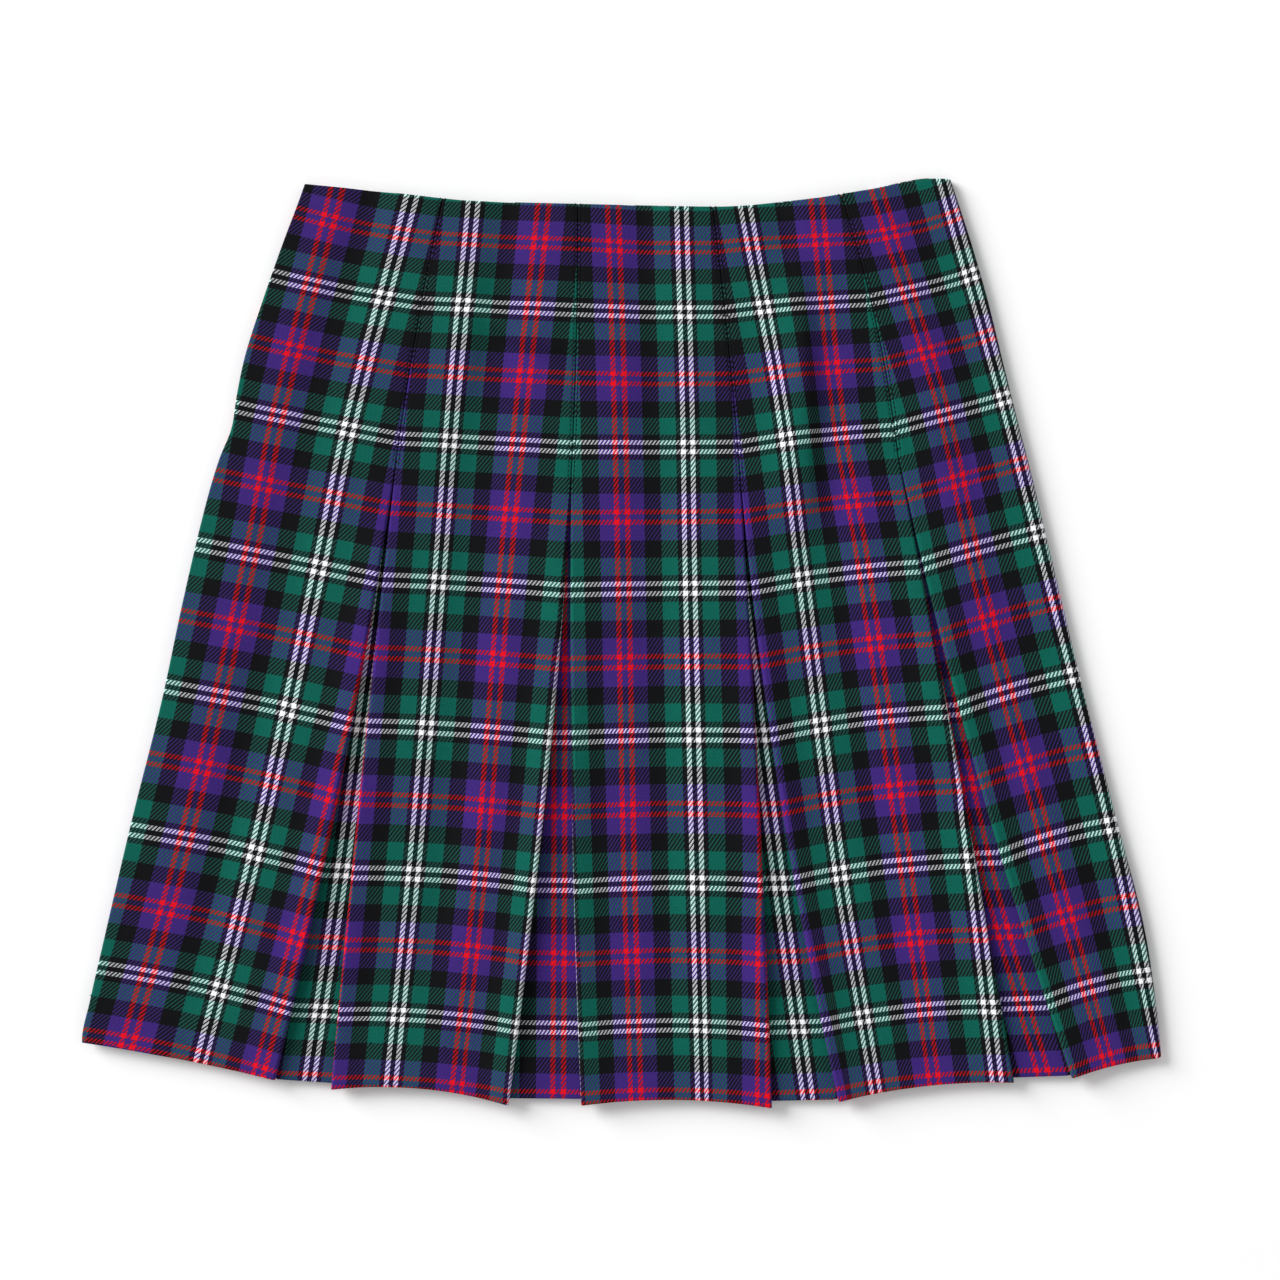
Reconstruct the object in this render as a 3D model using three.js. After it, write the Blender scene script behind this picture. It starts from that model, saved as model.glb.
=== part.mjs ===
// Box pleat skirt, laid flat on its back with the front up.
// Millimetres. +X is the right of the front as seen from above, +Y runs from the hem to the waist,
// +Z points up from the surface that the skirt lies on. The origin is the middle of the footprint.
// Ten panels meet at ten inverted box pleats. Each panel is one wall that folds under at its pleats,
// and an underlay lies behind each pleat. Every "down" is measured from the highest point of the waist.

import * as THREE from 'three';

// Cloth and layers
const FULL_LENGTH = 534;
const WALL = 1.0;
const SEAM_GAP = 0.3;
const FOLD_RADIUS = (WALL + SEAM_GAP) / 2;
const FOLD_REACH = FOLD_RADIUS + WALL / 2;
const LAYERS = {
  backPanel: 0,
  backReturn: 1,
  backUnderlay: 2,
  frontUnderlay: 3,
  frontReturn: 4,
  frontPanel: 5,
};
// Between its returns a front panel sinks on to the back of the skirt, this far above the underlays' level
const SUNK_CLEARANCE = 0.3;

// Levels across the skirt, between the waist line and the hem line
const FIRST_LEVEL = 27;
const LEVEL_STEP = 37;
const LEVEL_COUNT = 13;

// Outline: half widths left and right of the centre, from the waist to the hem
const SIDES = [
  { down: 1, left: -181.5, right: 189.2 },
  { down: 13, left: -185.7, right: 193.2 },
  { down: 36, left: -194.4, right: 200.7 },
  { down: 70, left: -206.4, right: 210.5 },
  { down: 105, left: -217.4, right: 219.1 },
  { down: 128, left: -222.0, right: 224.8 },
  { down: 142, left: -224.0, right: 228.3 },
  { down: 162, left: -231.7, right: 233.5 },
  { down: 185, left: -238.6, right: 239.2 },
  { down: 243, left: -252.4, right: 253.0 },
  { down: 300, left: -264.5, right: 266.8 },
  { down: 369, left: -281.8, right: 284.6 },
  { down: 438, left: -297.9, right: 301.9 },
  { down: 473, left: -305.9, right: 307.1 },
  { down: 496, left: -310.5, right: 309.6 },
  { down: 506, left: -310.5, right: 310.5 },
];

// Waist line, a shallow dip between the two sides
const WAIST = [
  { x: -182, down: 4.0 },
  { x: -130, down: 9.2 },
  { x: -87, down: 13.6 },
  { x: -18, down: 15.6 },
  { x: 56, down: 17.0 },
  { x: 102, down: 13.2 },
  { x: 143, down: 6.9 },
  { x: 180, down: 0.6 },
  { x: 190, down: 1.2 },
];

// Front pleats, left to right. The seam runs from the waist to the bar tack, and below the tack the two
// fold edges part towards the hem. A bow is how far the middle of a run stands off its straight line.
const FRONT_PLEATS = [
  { seam: -102.9, seamBow: -1.7, tack: -130.0, tackDown: 165,
    leftHem: -200.7, leftBow: 4.0, rightHem: -167.3, rightBow: -1.2 },
  { seam: -25.3, seamBow: 1.1, tack: -29.3, tackDown: 174,
    leftHem: -65.0, leftBow: 4.5, rightHem: -23.6, rightBow: -2.5 },
  { seam: 52.3, seamBow: 1.0, tack: 67.9, tackDown: 171,
    leftHem: 86.3, leftBow: 1.7, rightHem: 124.2, rightBow: -6.3 },
  { seam: 125.9, seamBow: 4.0, tack: 158.7, tackDown: 160,
    leftHem: 225.4, leftBow: 1.5, rightHem: 258.2, rightBow: -6.0 },
];

// Depth of the returns folded under each panel
const RETURN = { waist: 18, hem: 38 };
const SIDE_RETURN = { waist: 18, hem: 30 };
const WRAP_RETURN = { waist: 14, hem: 30 };

// The side panel goes round the right fold this far on to the back
const WRAP = { waist: 26, hem: 55 };
const WRAP_FOLD_RADIUS = 0.95;
const WRAP_SLOPE = { waist: 11, hem: 20 };

// Back: five panels share its width, with narrow pleat mouths at the hem. It lies a little inside
// the front's hem and shows as a hair line above the waist.
const BACK_PANEL_COUNT = 5;
const BACK_TACK_DOWN = 165;
const BACK_MOUTH = 10;
const BACK_WAIST_RISE = 0.6;
const BACK_HEM = [
  { x: -312, down: 494 },
  { x: -243, down: 503 },
  { x: -185, down: 514 },
  { x: -128, down: 519 },
  { x: -47, down: 525 },
  { x: 33, down: 526 },
  { x: 102, down: 523 },
  { x: 160, down: 518 },
  { x: 217, down: 514 },
  { x: 258, down: 509 },
  { x: 312, down: 503 },
];

// Hem of each front piece: how far down its left corner, middle and right corner hang
const FRONT_PANELS = [
  { name: 'front_panel_1', hem: { left: 496.5, middle: 506, right: 518 } },
  { name: 'front_panel_2', hem: { left: 523.5, middle: 523, right: 532.5 } },
  { name: 'front_panel_3', hem: { left: 532.5, middle: 529.5, right: FULL_LENGTH } },
  { name: 'front_panel_4', hem: { left: 530.5, middle: 521.5, right: 519.5 } },
];
const SIDE_PANEL_HEM = { left: 517, middle: 509.5, right: 505.5 };
const FRONT_UNDERLAYS = [
  { name: 'front_underlay_1', hem: { left: 515, middle: 519, right: 522 } },
  { name: 'front_underlay_2', hem: { left: 529, middle: 529, right: 530 } },
  { name: 'front_underlay_3', hem: { left: 531, middle: 530, right: 529 } },
  { name: 'front_underlay_4', hem: { left: 518, middle: 516.5, right: 514.5 } },
];

// Left side opening: the closed zip runs from the waist to its end, and the folded underlay goes on below
const ZIP_TOP_BELOW_WAIST = 3;
const ZIP_END = 139;
const ZIP_TAPE = 12;
const SIDE_UNDERLAY_TOP = 143;
const SIDE_LAYER_INSET = 1.5;
const UNDERLAY_INSET = 1;

// How much higher the hem of an underlay is than that of the panel in front of it, where it is hidden
const UNDERLAY_SHORT = 1.5;

// Largest soft folds of the front, each a low ridge along a line on one panel.
// Shares run across the panel from its left edge.
const SOFT_FOLDS = [
  { panel: 'front_panel_4', topDown: 60, bottomDown: 225, topShare: 0.62, bottomShare: 0.45,
    rise: 3.0, spread: 9 },
  { panel: 'front_panel_2', topDown: 45, bottomDown: 150, topShare: 0.3, bottomShare: 0.36,
    rise: 1.6, spread: 9 },
];

// Hem corners that lift off the layer below: side is -1 for the left corner and 1 for the right
const HEM_LIFTS = [
  { panel: 'front_panel_1', side: 1, rise: 1.5 },
  { panel: 'front_panel_2', side: 1, rise: 1.5 },
  { panel: 'front_panel_3', side: -1, rise: 2.0 },
  { panel: 'front_panel_3', side: 1, rise: 1.5 },
  { panel: 'front_panel_4', side: -1, rise: 2.0 },
  { panel: 'side_panel_right', side: -1, rise: 3.0 },
];
const HEM_LIFT_LENGTH = 90;
const HEM_LIFT_WIDTH = 40;

const CLOTH_COLOUR = 0x2d3156;
const UNDERLAY_COLOUR = 0x34285a;
const ZIP_COLOUR = 0x141826;

const { clamp, lerp, smoothstep, degToRad } = THREE.MathUtils;

// Smooth reading of a table: a cubic through the rows that keeps between neighbouring values
function read(rows, from, to, at) {
  const last = rows.length - 1;
  const place = clamp(at, rows[0][from], rows[last][from]);
  let k = 0;
  while (k < last - 1 && place > rows[k + 1][from]) k += 1;
  const slopeOf = (i) => (rows[i + 1][to] - rows[i][to]) / (rows[i + 1][from] - rows[i][from]);
  const tangentOf = (i) => {
    if (i === 0) return slopeOf(0);
    if (i === last) return slopeOf(last - 1);
    const before = slopeOf(i - 1);
    const after = slopeOf(i);
    return before * after <= 0 ? 0 : (2 * before * after) / (before + after);
  };
  const run = rows[k + 1][from] - rows[k][from];
  const t = (place - rows[k][from]) / run;
  const rise = t * t * (3 - 2 * t);
  return rows[k][to] * (1 - rise) + rows[k + 1][to] * rise
    + run * tangentOf(k) * t * (1 - t) * (1 - t)
    - run * tangentOf(k + 1) * t * t * (1 - t);
}

const waistDown = (x) => read(WAIST, 'x', 'down', x);
const outline = (side, down) => read(SIDES, 'down', side, down);
const layer = (n) => WALL / 2 + n * (WALL + SEAM_GAP);

// A run that bows off the straight line between its ends
function bowed(from, to, bow, share) {
  return lerp(from, to, share) + bow * 4 * share * (1 - share);
}

// Rows of a piece, from its top to its hem: each is "waist", "hem" or a level
const LEVELS = Array.from({ length: LEVEL_COUNT }, (_, k) => FIRST_LEVEL + k * LEVEL_STEP);
const FULL_ROWS = ['waist', ...LEVELS, 'hem'];

// Share of the way down the skirt, which the depths of returns follow
const shareDown = (row) => {
  if (row === 'waist') return 0;
  return row === 'hem' ? 1 : row / FULL_LENGTH;
};
const depth = (sizes, row) => lerp(sizes.waist, sizes.hem, shareDown(row));

// Edges give x on a row. The two edges of a pleat are the right edge of the panel on its left
// and the left edge of the panel on its right.
function pleatEdge(pleat, side) {
  const offset = (side === 'left' ? -1 : 1) * SEAM_GAP / 2;
  const hem = side === 'left' ? pleat.leftHem : pleat.rightHem;
  const bow = side === 'left' ? pleat.leftBow : pleat.rightBow;
  return (row, hemDown) => {
    if (row === 'waist') return pleat.seam + offset;
    if (row === 'hem') return hem + offset;
    if (row <= pleat.tackDown) {
      const top = waistDown(pleat.seam);
      return bowed(pleat.seam, pleat.tack, pleat.seamBow, (row - top) / (pleat.tackDown - top)) + offset;
    }
    return bowed(pleat.tack, hem, bow, (row - pleat.tackDown) / (hemDown - pleat.tackDown)) + offset;
  };
}

function outlineEdge(side) {
  return (row, hemDown) => {
    if (row === 'waist') return SIDES[0][side];
    return outline(side, row === 'hem' ? hemDown : row);
  };
}

// Edge of the side panel on the back, and the panel edge that faces it across the first back pleat
const rightOutline = outlineEdge('right');
const wrapEdge = (row, hemDown) => rightOutline(row, hemDown) - depth(WRAP, row);
const facingWrapEdge = (row, hemDown) => {
  const open = clamp((shareDown(row) * FULL_LENGTH - BACK_TACK_DOWN) / (hemDown - BACK_TACK_DOWN), 0, 1);
  return wrapEdge(row, hemDown) - lerp(SEAM_GAP, BACK_MOUTH, open);
};

// Back pleats from right to left: straight seams from the waist, spaced evenly across the back.
// The first one faces the side panel, whose edge follows the right outline.
function backPleats() {
  const wrapWaist = SIDES[0].right - WRAP.waist;
  const wrapHem = SIDES.at(-1).right - WRAP.hem;
  const leftWaist = SIDES[0].left;
  const leftHem = SIDES.at(-1).left;
  const waistStep = (wrapWaist - leftWaist) / BACK_PANEL_COUNT;
  const hemStep = (wrapHem - leftHem) / BACK_PANEL_COUNT;
  return Array.from({ length: BACK_PANEL_COUNT }, (_, k) => {
    const seam = wrapWaist - k * waistStep;
    const hemLeft = wrapHem - k * hemStep - BACK_MOUTH;
    const hemMiddle = hemLeft + BACK_MOUTH / 2;
    const tack = lerp(seam, hemMiddle, BACK_TACK_DOWN / FULL_LENGTH);
    return {
      seam, seamBow: 0, tack, tackDown: BACK_TACK_DOWN,
      leftHem: hemLeft, leftBow: 0, rightHem: hemLeft + BACK_MOUTH, rightBow: 0,
    };
  });
}

// A hem of three heights as a curve across the piece
function hemCurve(hem) {
  return (share) => hem.left * (1 - share) * (1 - 2 * share)
    + hem.middle * 4 * share * (1 - share)
    + hem.right * share * (2 * share - 1);
}

// Quarter and half folds: points round a centre, with the outward direction at each
function arc(x, z, radius, fromDegrees, toDegrees, steps) {
  return Array.from({ length: steps + 1 }, (_, k) => {
    const angle = degToRad(lerp(fromDegrees, toDegrees, k / steps));
    const nx = Math.cos(angle);
    const nz = Math.sin(angle);
    return { x: x + radius * nx, z: z + radius * nz, nx, nz };
  });
}

// Marks points that end at the hem of the back
const onBack = (points) => points.map((point) => ({ ...point, back: true }));

// Flat stretch between two places, both ends left out
function between(x0, x1, count, heightAt, up) {
  return Array.from({ length: count }, (_, k) => {
    const x = lerp(x0, x1, (k + 1) / (count + 1));
    return { x, z: heightAt(x), nx: 0, nz: up };
  });
}

// Ridges and lifted corners of one front panel, above its plain height
function relief(name, x, left, right, row) {
  const down = shareDown(row) * FULL_LENGTH;
  const share = (x - left) / (right - left);
  let rise = 0;
  for (const fold of SOFT_FOLDS.filter((entry) => entry.panel === name)) {
    const along = (down - fold.topDown) / (fold.bottomDown - fold.topDown);
    if (along > 0 && along < 1) {
      const centre = lerp(fold.topShare, fold.bottomShare, along);
      const off = (share - centre) * (right - left) / fold.spread;
      rise += fold.rise * Math.sin(Math.PI * along) * Math.exp(-off * off);
    }
  }
  for (const lift of HEM_LIFTS.filter((entry) => entry.panel === name)) {
    const edge = lift.side < 0 ? left : right;
    const near = 1 - smoothstep(Math.abs(x - edge), 0, HEM_LIFT_WIDTH);
    rise += lift.rise * near * smoothstep(down, FULL_LENGTH - HEM_LIFT_LENGTH, FULL_LENGTH);
  }
  return rise;
}

// Section of a front panel on one row: left return, fold, top, fold, right return
function frontSection(name, left, right, leftReturn, rightReturn, row) {
  const top = layer(LAYERS.frontPanel);
  const under = layer(LAYERS.frontReturn);
  const sunk = layer(LAYERS.frontUnderlay) + SUNK_CLEARANCE;
  const lifted = (x) => relief(name, x, left, right, row);
  const flat = (x) => top + lifted(x);
  const a = left + leftReturn + UNDERLAY_INSET;
  const b = right - rightReturn - UNDERLAY_INSET;
  const sagging = (x) => top + (sunk - top) * Math.sin(Math.PI * (x - a) / (b - a)) ** 2 + lifted(x);
  const liftLeft = lifted(left);
  const liftRight = lifted(right);
  const middle = (top + under) / 2;
  return [
    { x: left + leftReturn, z: under + liftLeft, nx: 0, nz: -1 },
    ...arc(left + FOLD_REACH, middle + liftLeft, FOLD_RADIUS, 270, 90, 3),
    ...between(left + FOLD_REACH, a, 1, flat, 1),
    { x: a, z: flat(a), nx: 0, nz: 1 },
    ...between(a, b, 5, sagging, 1),
    { x: b, z: flat(b), nx: 0, nz: 1 },
    ...between(b, right - FOLD_REACH, 1, flat, 1),
    ...arc(right - FOLD_REACH, middle + liftRight, FOLD_RADIUS, 90, -90, 3),
    { x: right - rightReturn, z: under + liftRight, nx: 0, nz: -1 },
  ];
}

// Section of the side panel: front return, fold, front, round the right fold, back, fold, back return
function sideSection(name, left, right, row) {
  const top = layer(LAYERS.frontPanel);
  const under = layer(LAYERS.frontReturn);
  const sunk = layer(LAYERS.frontUnderlay) + SUNK_CLEARANCE;
  const floor = layer(LAYERS.backPanel);
  const edge = floor + 2 * WRAP_FOLD_RADIUS;
  const leftReturn = depth(SIDE_RETURN, row);
  const wrap = right - depth(WRAP, row);
  const slope = depth(WRAP_SLOPE, row);
  const foldX = right - WRAP_FOLD_RADIUS - WALL / 2;
  const lifted = (x) => relief(name, x, left, right, row);
  const a = left + leftReturn + UNDERLAY_INSET;
  const fall = Math.min(20, foldX - a);
  const height = (x) => {
    const plain = lerp(top, sunk, smoothstep(x, a, a + fall));
    return lerp(edge, plain, smoothstep(foldX - x, 0, slope)) + lifted(x);
  };
  const liftLeft = lifted(left);
  return [
    { x: left + leftReturn, z: under + liftLeft, nx: 0, nz: -1 },
    ...arc(left + FOLD_REACH, (top + under) / 2 + liftLeft, FOLD_RADIUS, 270, 90, 3),
    ...between(left + FOLD_REACH, a, 1, (x) => top + lifted(x), 1),
    { x: a, z: top + lifted(a), nx: 0, nz: 1 },
    ...between(a, foldX, 6, height, 1),
    ...arc(foldX, (edge + floor) / 2, WRAP_FOLD_RADIUS, 90, -90, 4),
    ...onBack(between(foldX, wrap + FOLD_REACH, 1, () => floor, -1)),
    ...onBack(arc(wrap + FOLD_REACH, floor + FOLD_RADIUS, FOLD_RADIUS, 270, 90, 3)),
    ...onBack([{ x: wrap + depth(WRAP_RETURN, row), z: layer(LAYERS.backReturn), nx: 0, nz: 1 }]),
  ];
}

// Section of a back panel, seen from above: left return, fold, flat underside, fold, right return
function backSection(left, right, leftReturn, rightReturn) {
  const floor = layer(LAYERS.backPanel);
  const over = layer(LAYERS.backReturn);
  const middle = (floor + over) / 2;
  return [
    { x: left + leftReturn, z: over, nx: 0, nz: 1 },
    ...arc(left + FOLD_REACH, middle, FOLD_RADIUS, 90, 270, 3),
    ...between(left + FOLD_REACH, right - FOLD_REACH, 3, () => floor, -1),
    ...arc(right - FOLD_REACH, middle, FOLD_RADIUS, -90, 90, 3),
    { x: right - rightReturn, z: over, nx: 0, nz: 1 },
  ];
}

function underlaySection(left, right, level) {
  const z = layer(level);
  return [
    { x: left, z, nx: 0, nz: 1 },
    ...between(left, right, 3, () => z, 1),
    { x: right, z, nx: 0, nz: 1 },
  ];
}

// Folded strip at the left side: upper layer, fold, lower layer
function foldedSection(left, reach) {
  const upper = layer(LAYERS.frontUnderlay);
  const lower = layer(LAYERS.backUnderlay);
  const start = left + SIDE_LAYER_INSET;
  return [
    { x: left + reach, z: upper, nx: 0, nz: 1 },
    ...arc(start + FOLD_REACH, (upper + lower) / 2, FOLD_RADIUS, 90, 270, 3),
    { x: left + reach, z: lower, nx: 0, nz: -1 },
  ];
}

// One wall through the sections of a piece. downAt gives how far down a point of the section lies.
function wallMesh(name, colour, rows, sectionAt, downAt) {
  const loops = rows.map((row) => {
    const middleLine = sectionAt(row);
    const side = (sign) => middleLine.map((point) => [
      point.x + sign * point.nx * WALL / 2,
      FULL_LENGTH / 2 - downAt(row, point.x, point.back),
      point.z + sign * point.nz * WALL / 2,
    ]);
    return [...side(1), ...side(-1).reverse()];
  });
  const count = loops[0].length;
  const positions = loops.flat(2);
  const indices = [];
  for (let r = 0; r < loops.length - 1; r += 1) {
    for (let k = 0; k < count; k += 1) {
      const a = r * count + k;
      const b = r * count + (k + 1) % count;
      indices.push(a, b, b + count, a, b + count, a + count);
    }
  }
  const last = (loops.length - 1) * count;
  for (let k = 0; k < count / 2 - 1; k += 1) {
    const opposite = count - 1 - k;
    indices.push(k, opposite, opposite - 1, k, opposite - 1, k + 1);
    indices.push(last + k, last + opposite - 1, last + opposite, last + k, last + k + 1, last + opposite - 1);
  }
  const geometry = new THREE.BufferGeometry();
  geometry.setAttribute('position', new THREE.Float32BufferAttribute(positions, 3));
  geometry.setIndex(outward(positions, indices));
  geometry.computeVertexNormals();
  const material = new THREE.MeshStandardMaterial({ color: colour, roughness: 0.85, metalness: 0 });
  const mesh = new THREE.Mesh(geometry, material);
  mesh.name = name;
  return mesh;
}

// Turns the triangles round if they enclose a negative volume
function outward(positions, indices) {
  const point = (i) => new THREE.Vector3().fromArray(positions, 3 * i);
  let volume = 0;
  for (let k = 0; k < indices.length; k += 3) {
    volume += point(indices[k]).dot(point(indices[k + 1]).cross(point(indices[k + 2])));
  }
  return volume > 0 ? indices : indices.toReversed();
}

// How far down a point lies on its row: on the waist line, a level, or the hem of the piece
function frontDown(leftEdge, rightEdge, hem) {
  const curve = hemCurve(hem);
  return (row, x, back) => {
    if (row === 'waist') return waistDown(x);
    if (row !== 'hem') return row;
    if (back) return backDown(row, x);
    const left = leftEdge('hem', hem.left);
    const right = rightEdge('hem', hem.right);
    return curve(clamp((x - left) / (right - left), 0, 1));
  };
}

function backDown(row, x) {
  if (row === 'waist') return waistDown(x) - BACK_WAIST_RISE;
  return row === 'hem' ? read(BACK_HEM, 'x', 'down', x) : row;
}

function buildFrontPanel(index) {
  const { name, hem } = FRONT_PANELS[index];
  const leftEdge = index === 0 ? outlineEdge('left') : pleatEdge(FRONT_PLEATS[index - 1], 'right');
  const rightEdge = pleatEdge(FRONT_PLEATS[index], 'left');
  const section = (row) => frontSection(
    name, leftEdge(row, hem.left), rightEdge(row, hem.right), depth(RETURN, row), depth(RETURN, row), row,
  );
  return wallMesh(name, CLOTH_COLOUR, FULL_ROWS, section, frontDown(leftEdge, rightEdge, hem));
}

function buildSidePanel() {
  const name = 'side_panel_right';
  const hem = SIDE_PANEL_HEM;
  const leftEdge = pleatEdge(FRONT_PLEATS.at(-1), 'right');
  const section = (row) => sideSection(
    name, leftEdge(row, hem.left), rightOutline(row, hem.right), row,
  );
  return wallMesh(name, CLOTH_COLOUR, FULL_ROWS, section, frontDown(leftEdge, rightOutline, hem));
}

// Hem of a front panel by place across, with the side panel as the last
function panelHem(index) {
  const isSide = index === FRONT_PANELS.length;
  const hem = isSide ? SIDE_PANEL_HEM : FRONT_PANELS[index].hem;
  const leftEdge = index === 0 ? outlineEdge('left') : pleatEdge(FRONT_PLEATS[index - 1], 'right');
  const rightEdge = isSide ? rightOutline : pleatEdge(FRONT_PLEATS[index], 'left');
  const down = frontDown(leftEdge, rightEdge, hem);
  return (x) => down('hem', x, false);
}

function buildFrontUnderlay(index) {
  const { name, hem } = FRONT_UNDERLAYS[index];
  const pleat = FRONT_PLEATS[index];
  const rightReturn = index === FRONT_PLEATS.length - 1 ? SIDE_RETURN : RETURN;
  const leftFold = pleatEdge(pleat, 'left');
  const rightFold = pleatEdge(pleat, 'right');
  const leftEdge = (row, down) => leftFold(row, down) - depth(RETURN, row) + UNDERLAY_INSET;
  const rightEdge = (row, down) => rightFold(row, down) + depth(rightReturn, row) - UNDERLAY_INSET;
  const section = (row) => underlaySection(
    leftEdge(row, hem.left), rightEdge(row, hem.right), LAYERS.frontUnderlay,
  );
  const plainDown = frontDown(leftEdge, rightEdge, hem);
  const [leftHem, rightHem] = [panelHem(index), panelHem(index + 1)];
  const downAt = (row, x, back) => {
    const down = plainDown(row, x, back);
    if (row !== 'hem') return down;
    if (x < leftFold('hem', hem.left)) return Math.min(down, leftHem(x) - UNDERLAY_SHORT);
    return x > rightFold('hem', hem.right) ? Math.min(down, rightHem(x) - UNDERLAY_SHORT) : down;
  };
  return wallMesh(name, UNDERLAY_COLOUR, FULL_ROWS, section, downAt);
}

function buildBackPanel(index, pleats) {
  const hemDown = BACK_HEM.at(-1).down;
  const rightEdge = index === 0 ? facingWrapEdge : pleatEdge(pleats[index], 'left');
  const isLast = index === pleats.length - 1;
  const leftEdge = isLast ? outlineEdge('left') : pleatEdge(pleats[index + 1], 'right');
  const section = (row) => backSection(
    leftEdge(row, hemDown), rightEdge(row, hemDown), depth(RETURN, row), depth(RETURN, row),
  );
  return wallMesh(`back_panel_${index + 1}`, CLOTH_COLOUR, FULL_ROWS, section, backDown);
}

function buildBackUnderlay(index, pleats) {
  const hemDown = BACK_HEM.at(-1).down;
  const leftFold = index === 0 ? facingWrapEdge : pleatEdge(pleats[index], 'left');
  const rightFold = index === 0 ? wrapEdge : pleatEdge(pleats[index], 'right');
  const rightReturn = index === 0 ? WRAP_RETURN : RETURN;
  const section = (row) => underlaySection(
    leftFold(row, hemDown) - depth(RETURN, row) + UNDERLAY_INSET,
    rightFold(row, hemDown) + depth(rightReturn, row) - UNDERLAY_INSET,
    LAYERS.backUnderlay,
  );
  return wallMesh(`back_underlay_${index + 1}`, UNDERLAY_COLOUR, FULL_ROWS, section, backDown);
}

function buildSideZip() {
  const levels = LEVELS.filter((level) => level < ZIP_END - LEVEL_STEP / 2);
  const topDown = waistDown(SIDES[0].left) + ZIP_TOP_BELOW_WAIST;
  const rows = [topDown, ...levels, ZIP_END];
  const section = (row) => foldedSection(outline('left', row), ZIP_TAPE);
  return wallMesh('side_zip_left', ZIP_COLOUR, rows, section, (row) => row);
}

function buildSideUnderlay() {
  const levels = LEVELS.filter((level) => level > SIDE_UNDERLAY_TOP + LEVEL_STEP / 2);
  const rows = [SIDE_UNDERLAY_TOP, ...levels, 'hem'];
  const hemDown = BACK_HEM[0].down;
  const section = (row) => foldedSection(
    outline('left', row === 'hem' ? hemDown : row), depth(RETURN, row) - UNDERLAY_INSET,
  );
  return wallMesh('side_underlay_left', UNDERLAY_COLOUR, rows, section, backDown);
}

const group = new THREE.Group();
const pleats = backPleats();
FRONT_PANELS.forEach((_, index) => group.add(buildFrontPanel(index)));
FRONT_UNDERLAYS.forEach((_, index) => group.add(buildFrontUnderlay(index)));
group.add(buildSidePanel(), buildSideUnderlay(), buildSideZip());
pleats.forEach((_, index) => {
  group.add(buildBackPanel(index, pleats));
  group.add(buildBackUnderlay(index, pleats));
});

export default group;
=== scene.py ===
"""A box pleat skirt in a woven check, laid flat with its front up.

Sizes are in millimetres unless a name says otherwise, and meshes are made in metres. +X is the right
of the front as seen from above, +Y runs from the hem to the waist and +Z points up from the surface
that the skirt lies on. Every "down" is measured from the highest point of the waist, as on a paper
pattern. The cloth is a thin shell on the form of each solid of the frame.
"""

from __future__ import annotations

import logging
import math
from collections.abc import Callable, Sequence
from dataclasses import dataclass, field, replace
from enum import Enum

import bpy
import numpy as np
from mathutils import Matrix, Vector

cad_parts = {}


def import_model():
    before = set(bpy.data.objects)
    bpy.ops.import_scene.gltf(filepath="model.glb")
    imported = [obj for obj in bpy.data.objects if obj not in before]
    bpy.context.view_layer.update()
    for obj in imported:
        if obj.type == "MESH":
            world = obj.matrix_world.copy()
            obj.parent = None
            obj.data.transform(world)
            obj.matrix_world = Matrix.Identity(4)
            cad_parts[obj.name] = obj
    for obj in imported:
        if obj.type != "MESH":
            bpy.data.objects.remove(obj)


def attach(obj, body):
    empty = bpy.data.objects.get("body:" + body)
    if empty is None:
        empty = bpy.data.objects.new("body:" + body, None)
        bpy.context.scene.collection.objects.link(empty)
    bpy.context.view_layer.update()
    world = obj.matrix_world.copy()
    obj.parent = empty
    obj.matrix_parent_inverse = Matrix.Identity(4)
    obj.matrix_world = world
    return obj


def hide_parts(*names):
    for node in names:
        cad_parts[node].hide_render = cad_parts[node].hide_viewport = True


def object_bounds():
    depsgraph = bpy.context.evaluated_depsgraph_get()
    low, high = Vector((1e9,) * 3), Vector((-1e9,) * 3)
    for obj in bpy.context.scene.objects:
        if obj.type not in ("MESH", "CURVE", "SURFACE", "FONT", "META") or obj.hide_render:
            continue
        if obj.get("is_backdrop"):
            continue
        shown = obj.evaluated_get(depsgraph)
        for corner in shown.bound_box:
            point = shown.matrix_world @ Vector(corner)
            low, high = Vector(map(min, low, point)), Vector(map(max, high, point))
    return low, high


Array = np.ndarray
Line = Callable[[Array], Array]
Run = tuple[Array, Array]
Colour = tuple[float, float, float]
Socket = bpy.types.NodeSocket

LOG = logging.getLogger("skirt")

MM = 0.001
BODY = "root"

# Skirt
FULL_LENGTH = 534.0
SEAM_GAP = 0.3
HEM_ALLOWANCE = 26.0
WAIST_TURN = 9.0

# Cloth, and the heights of its layers
CLOTH_THICKNESS = 0.7
TURNED_EXTRA = 0.35
LAYER_FIRST = 0.5
LAYER_STEP = 1.3
PLAIN_FOLD = LAYER_STEP / 2
SUNK_RISE = 0.3
FLOOR_GAP = 0.37


class Side(Enum):
    """Left or right of the front, as seen from above."""

    LEFT = -1
    RIGHT = 1


class Slot(Enum):
    """The record's material slots."""

    CLOTH = "cloth"
    ZIP = "zip"
    THREAD = "thread"


class Layer(Enum):
    """Layers of cloth from the surface up."""

    BACK_PANEL = 0
    BACK_RETURN = 1
    BACK_UNDERLAY = 2
    FRONT_UNDERLAY = 3
    FRONT_RETURN = 4
    FRONT_PANEL = 5

    @property
    def height(self) -> float:
        """Height of the middle of this layer's cloth."""
        return LAYER_FIRST + self.value * LAYER_STEP


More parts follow.
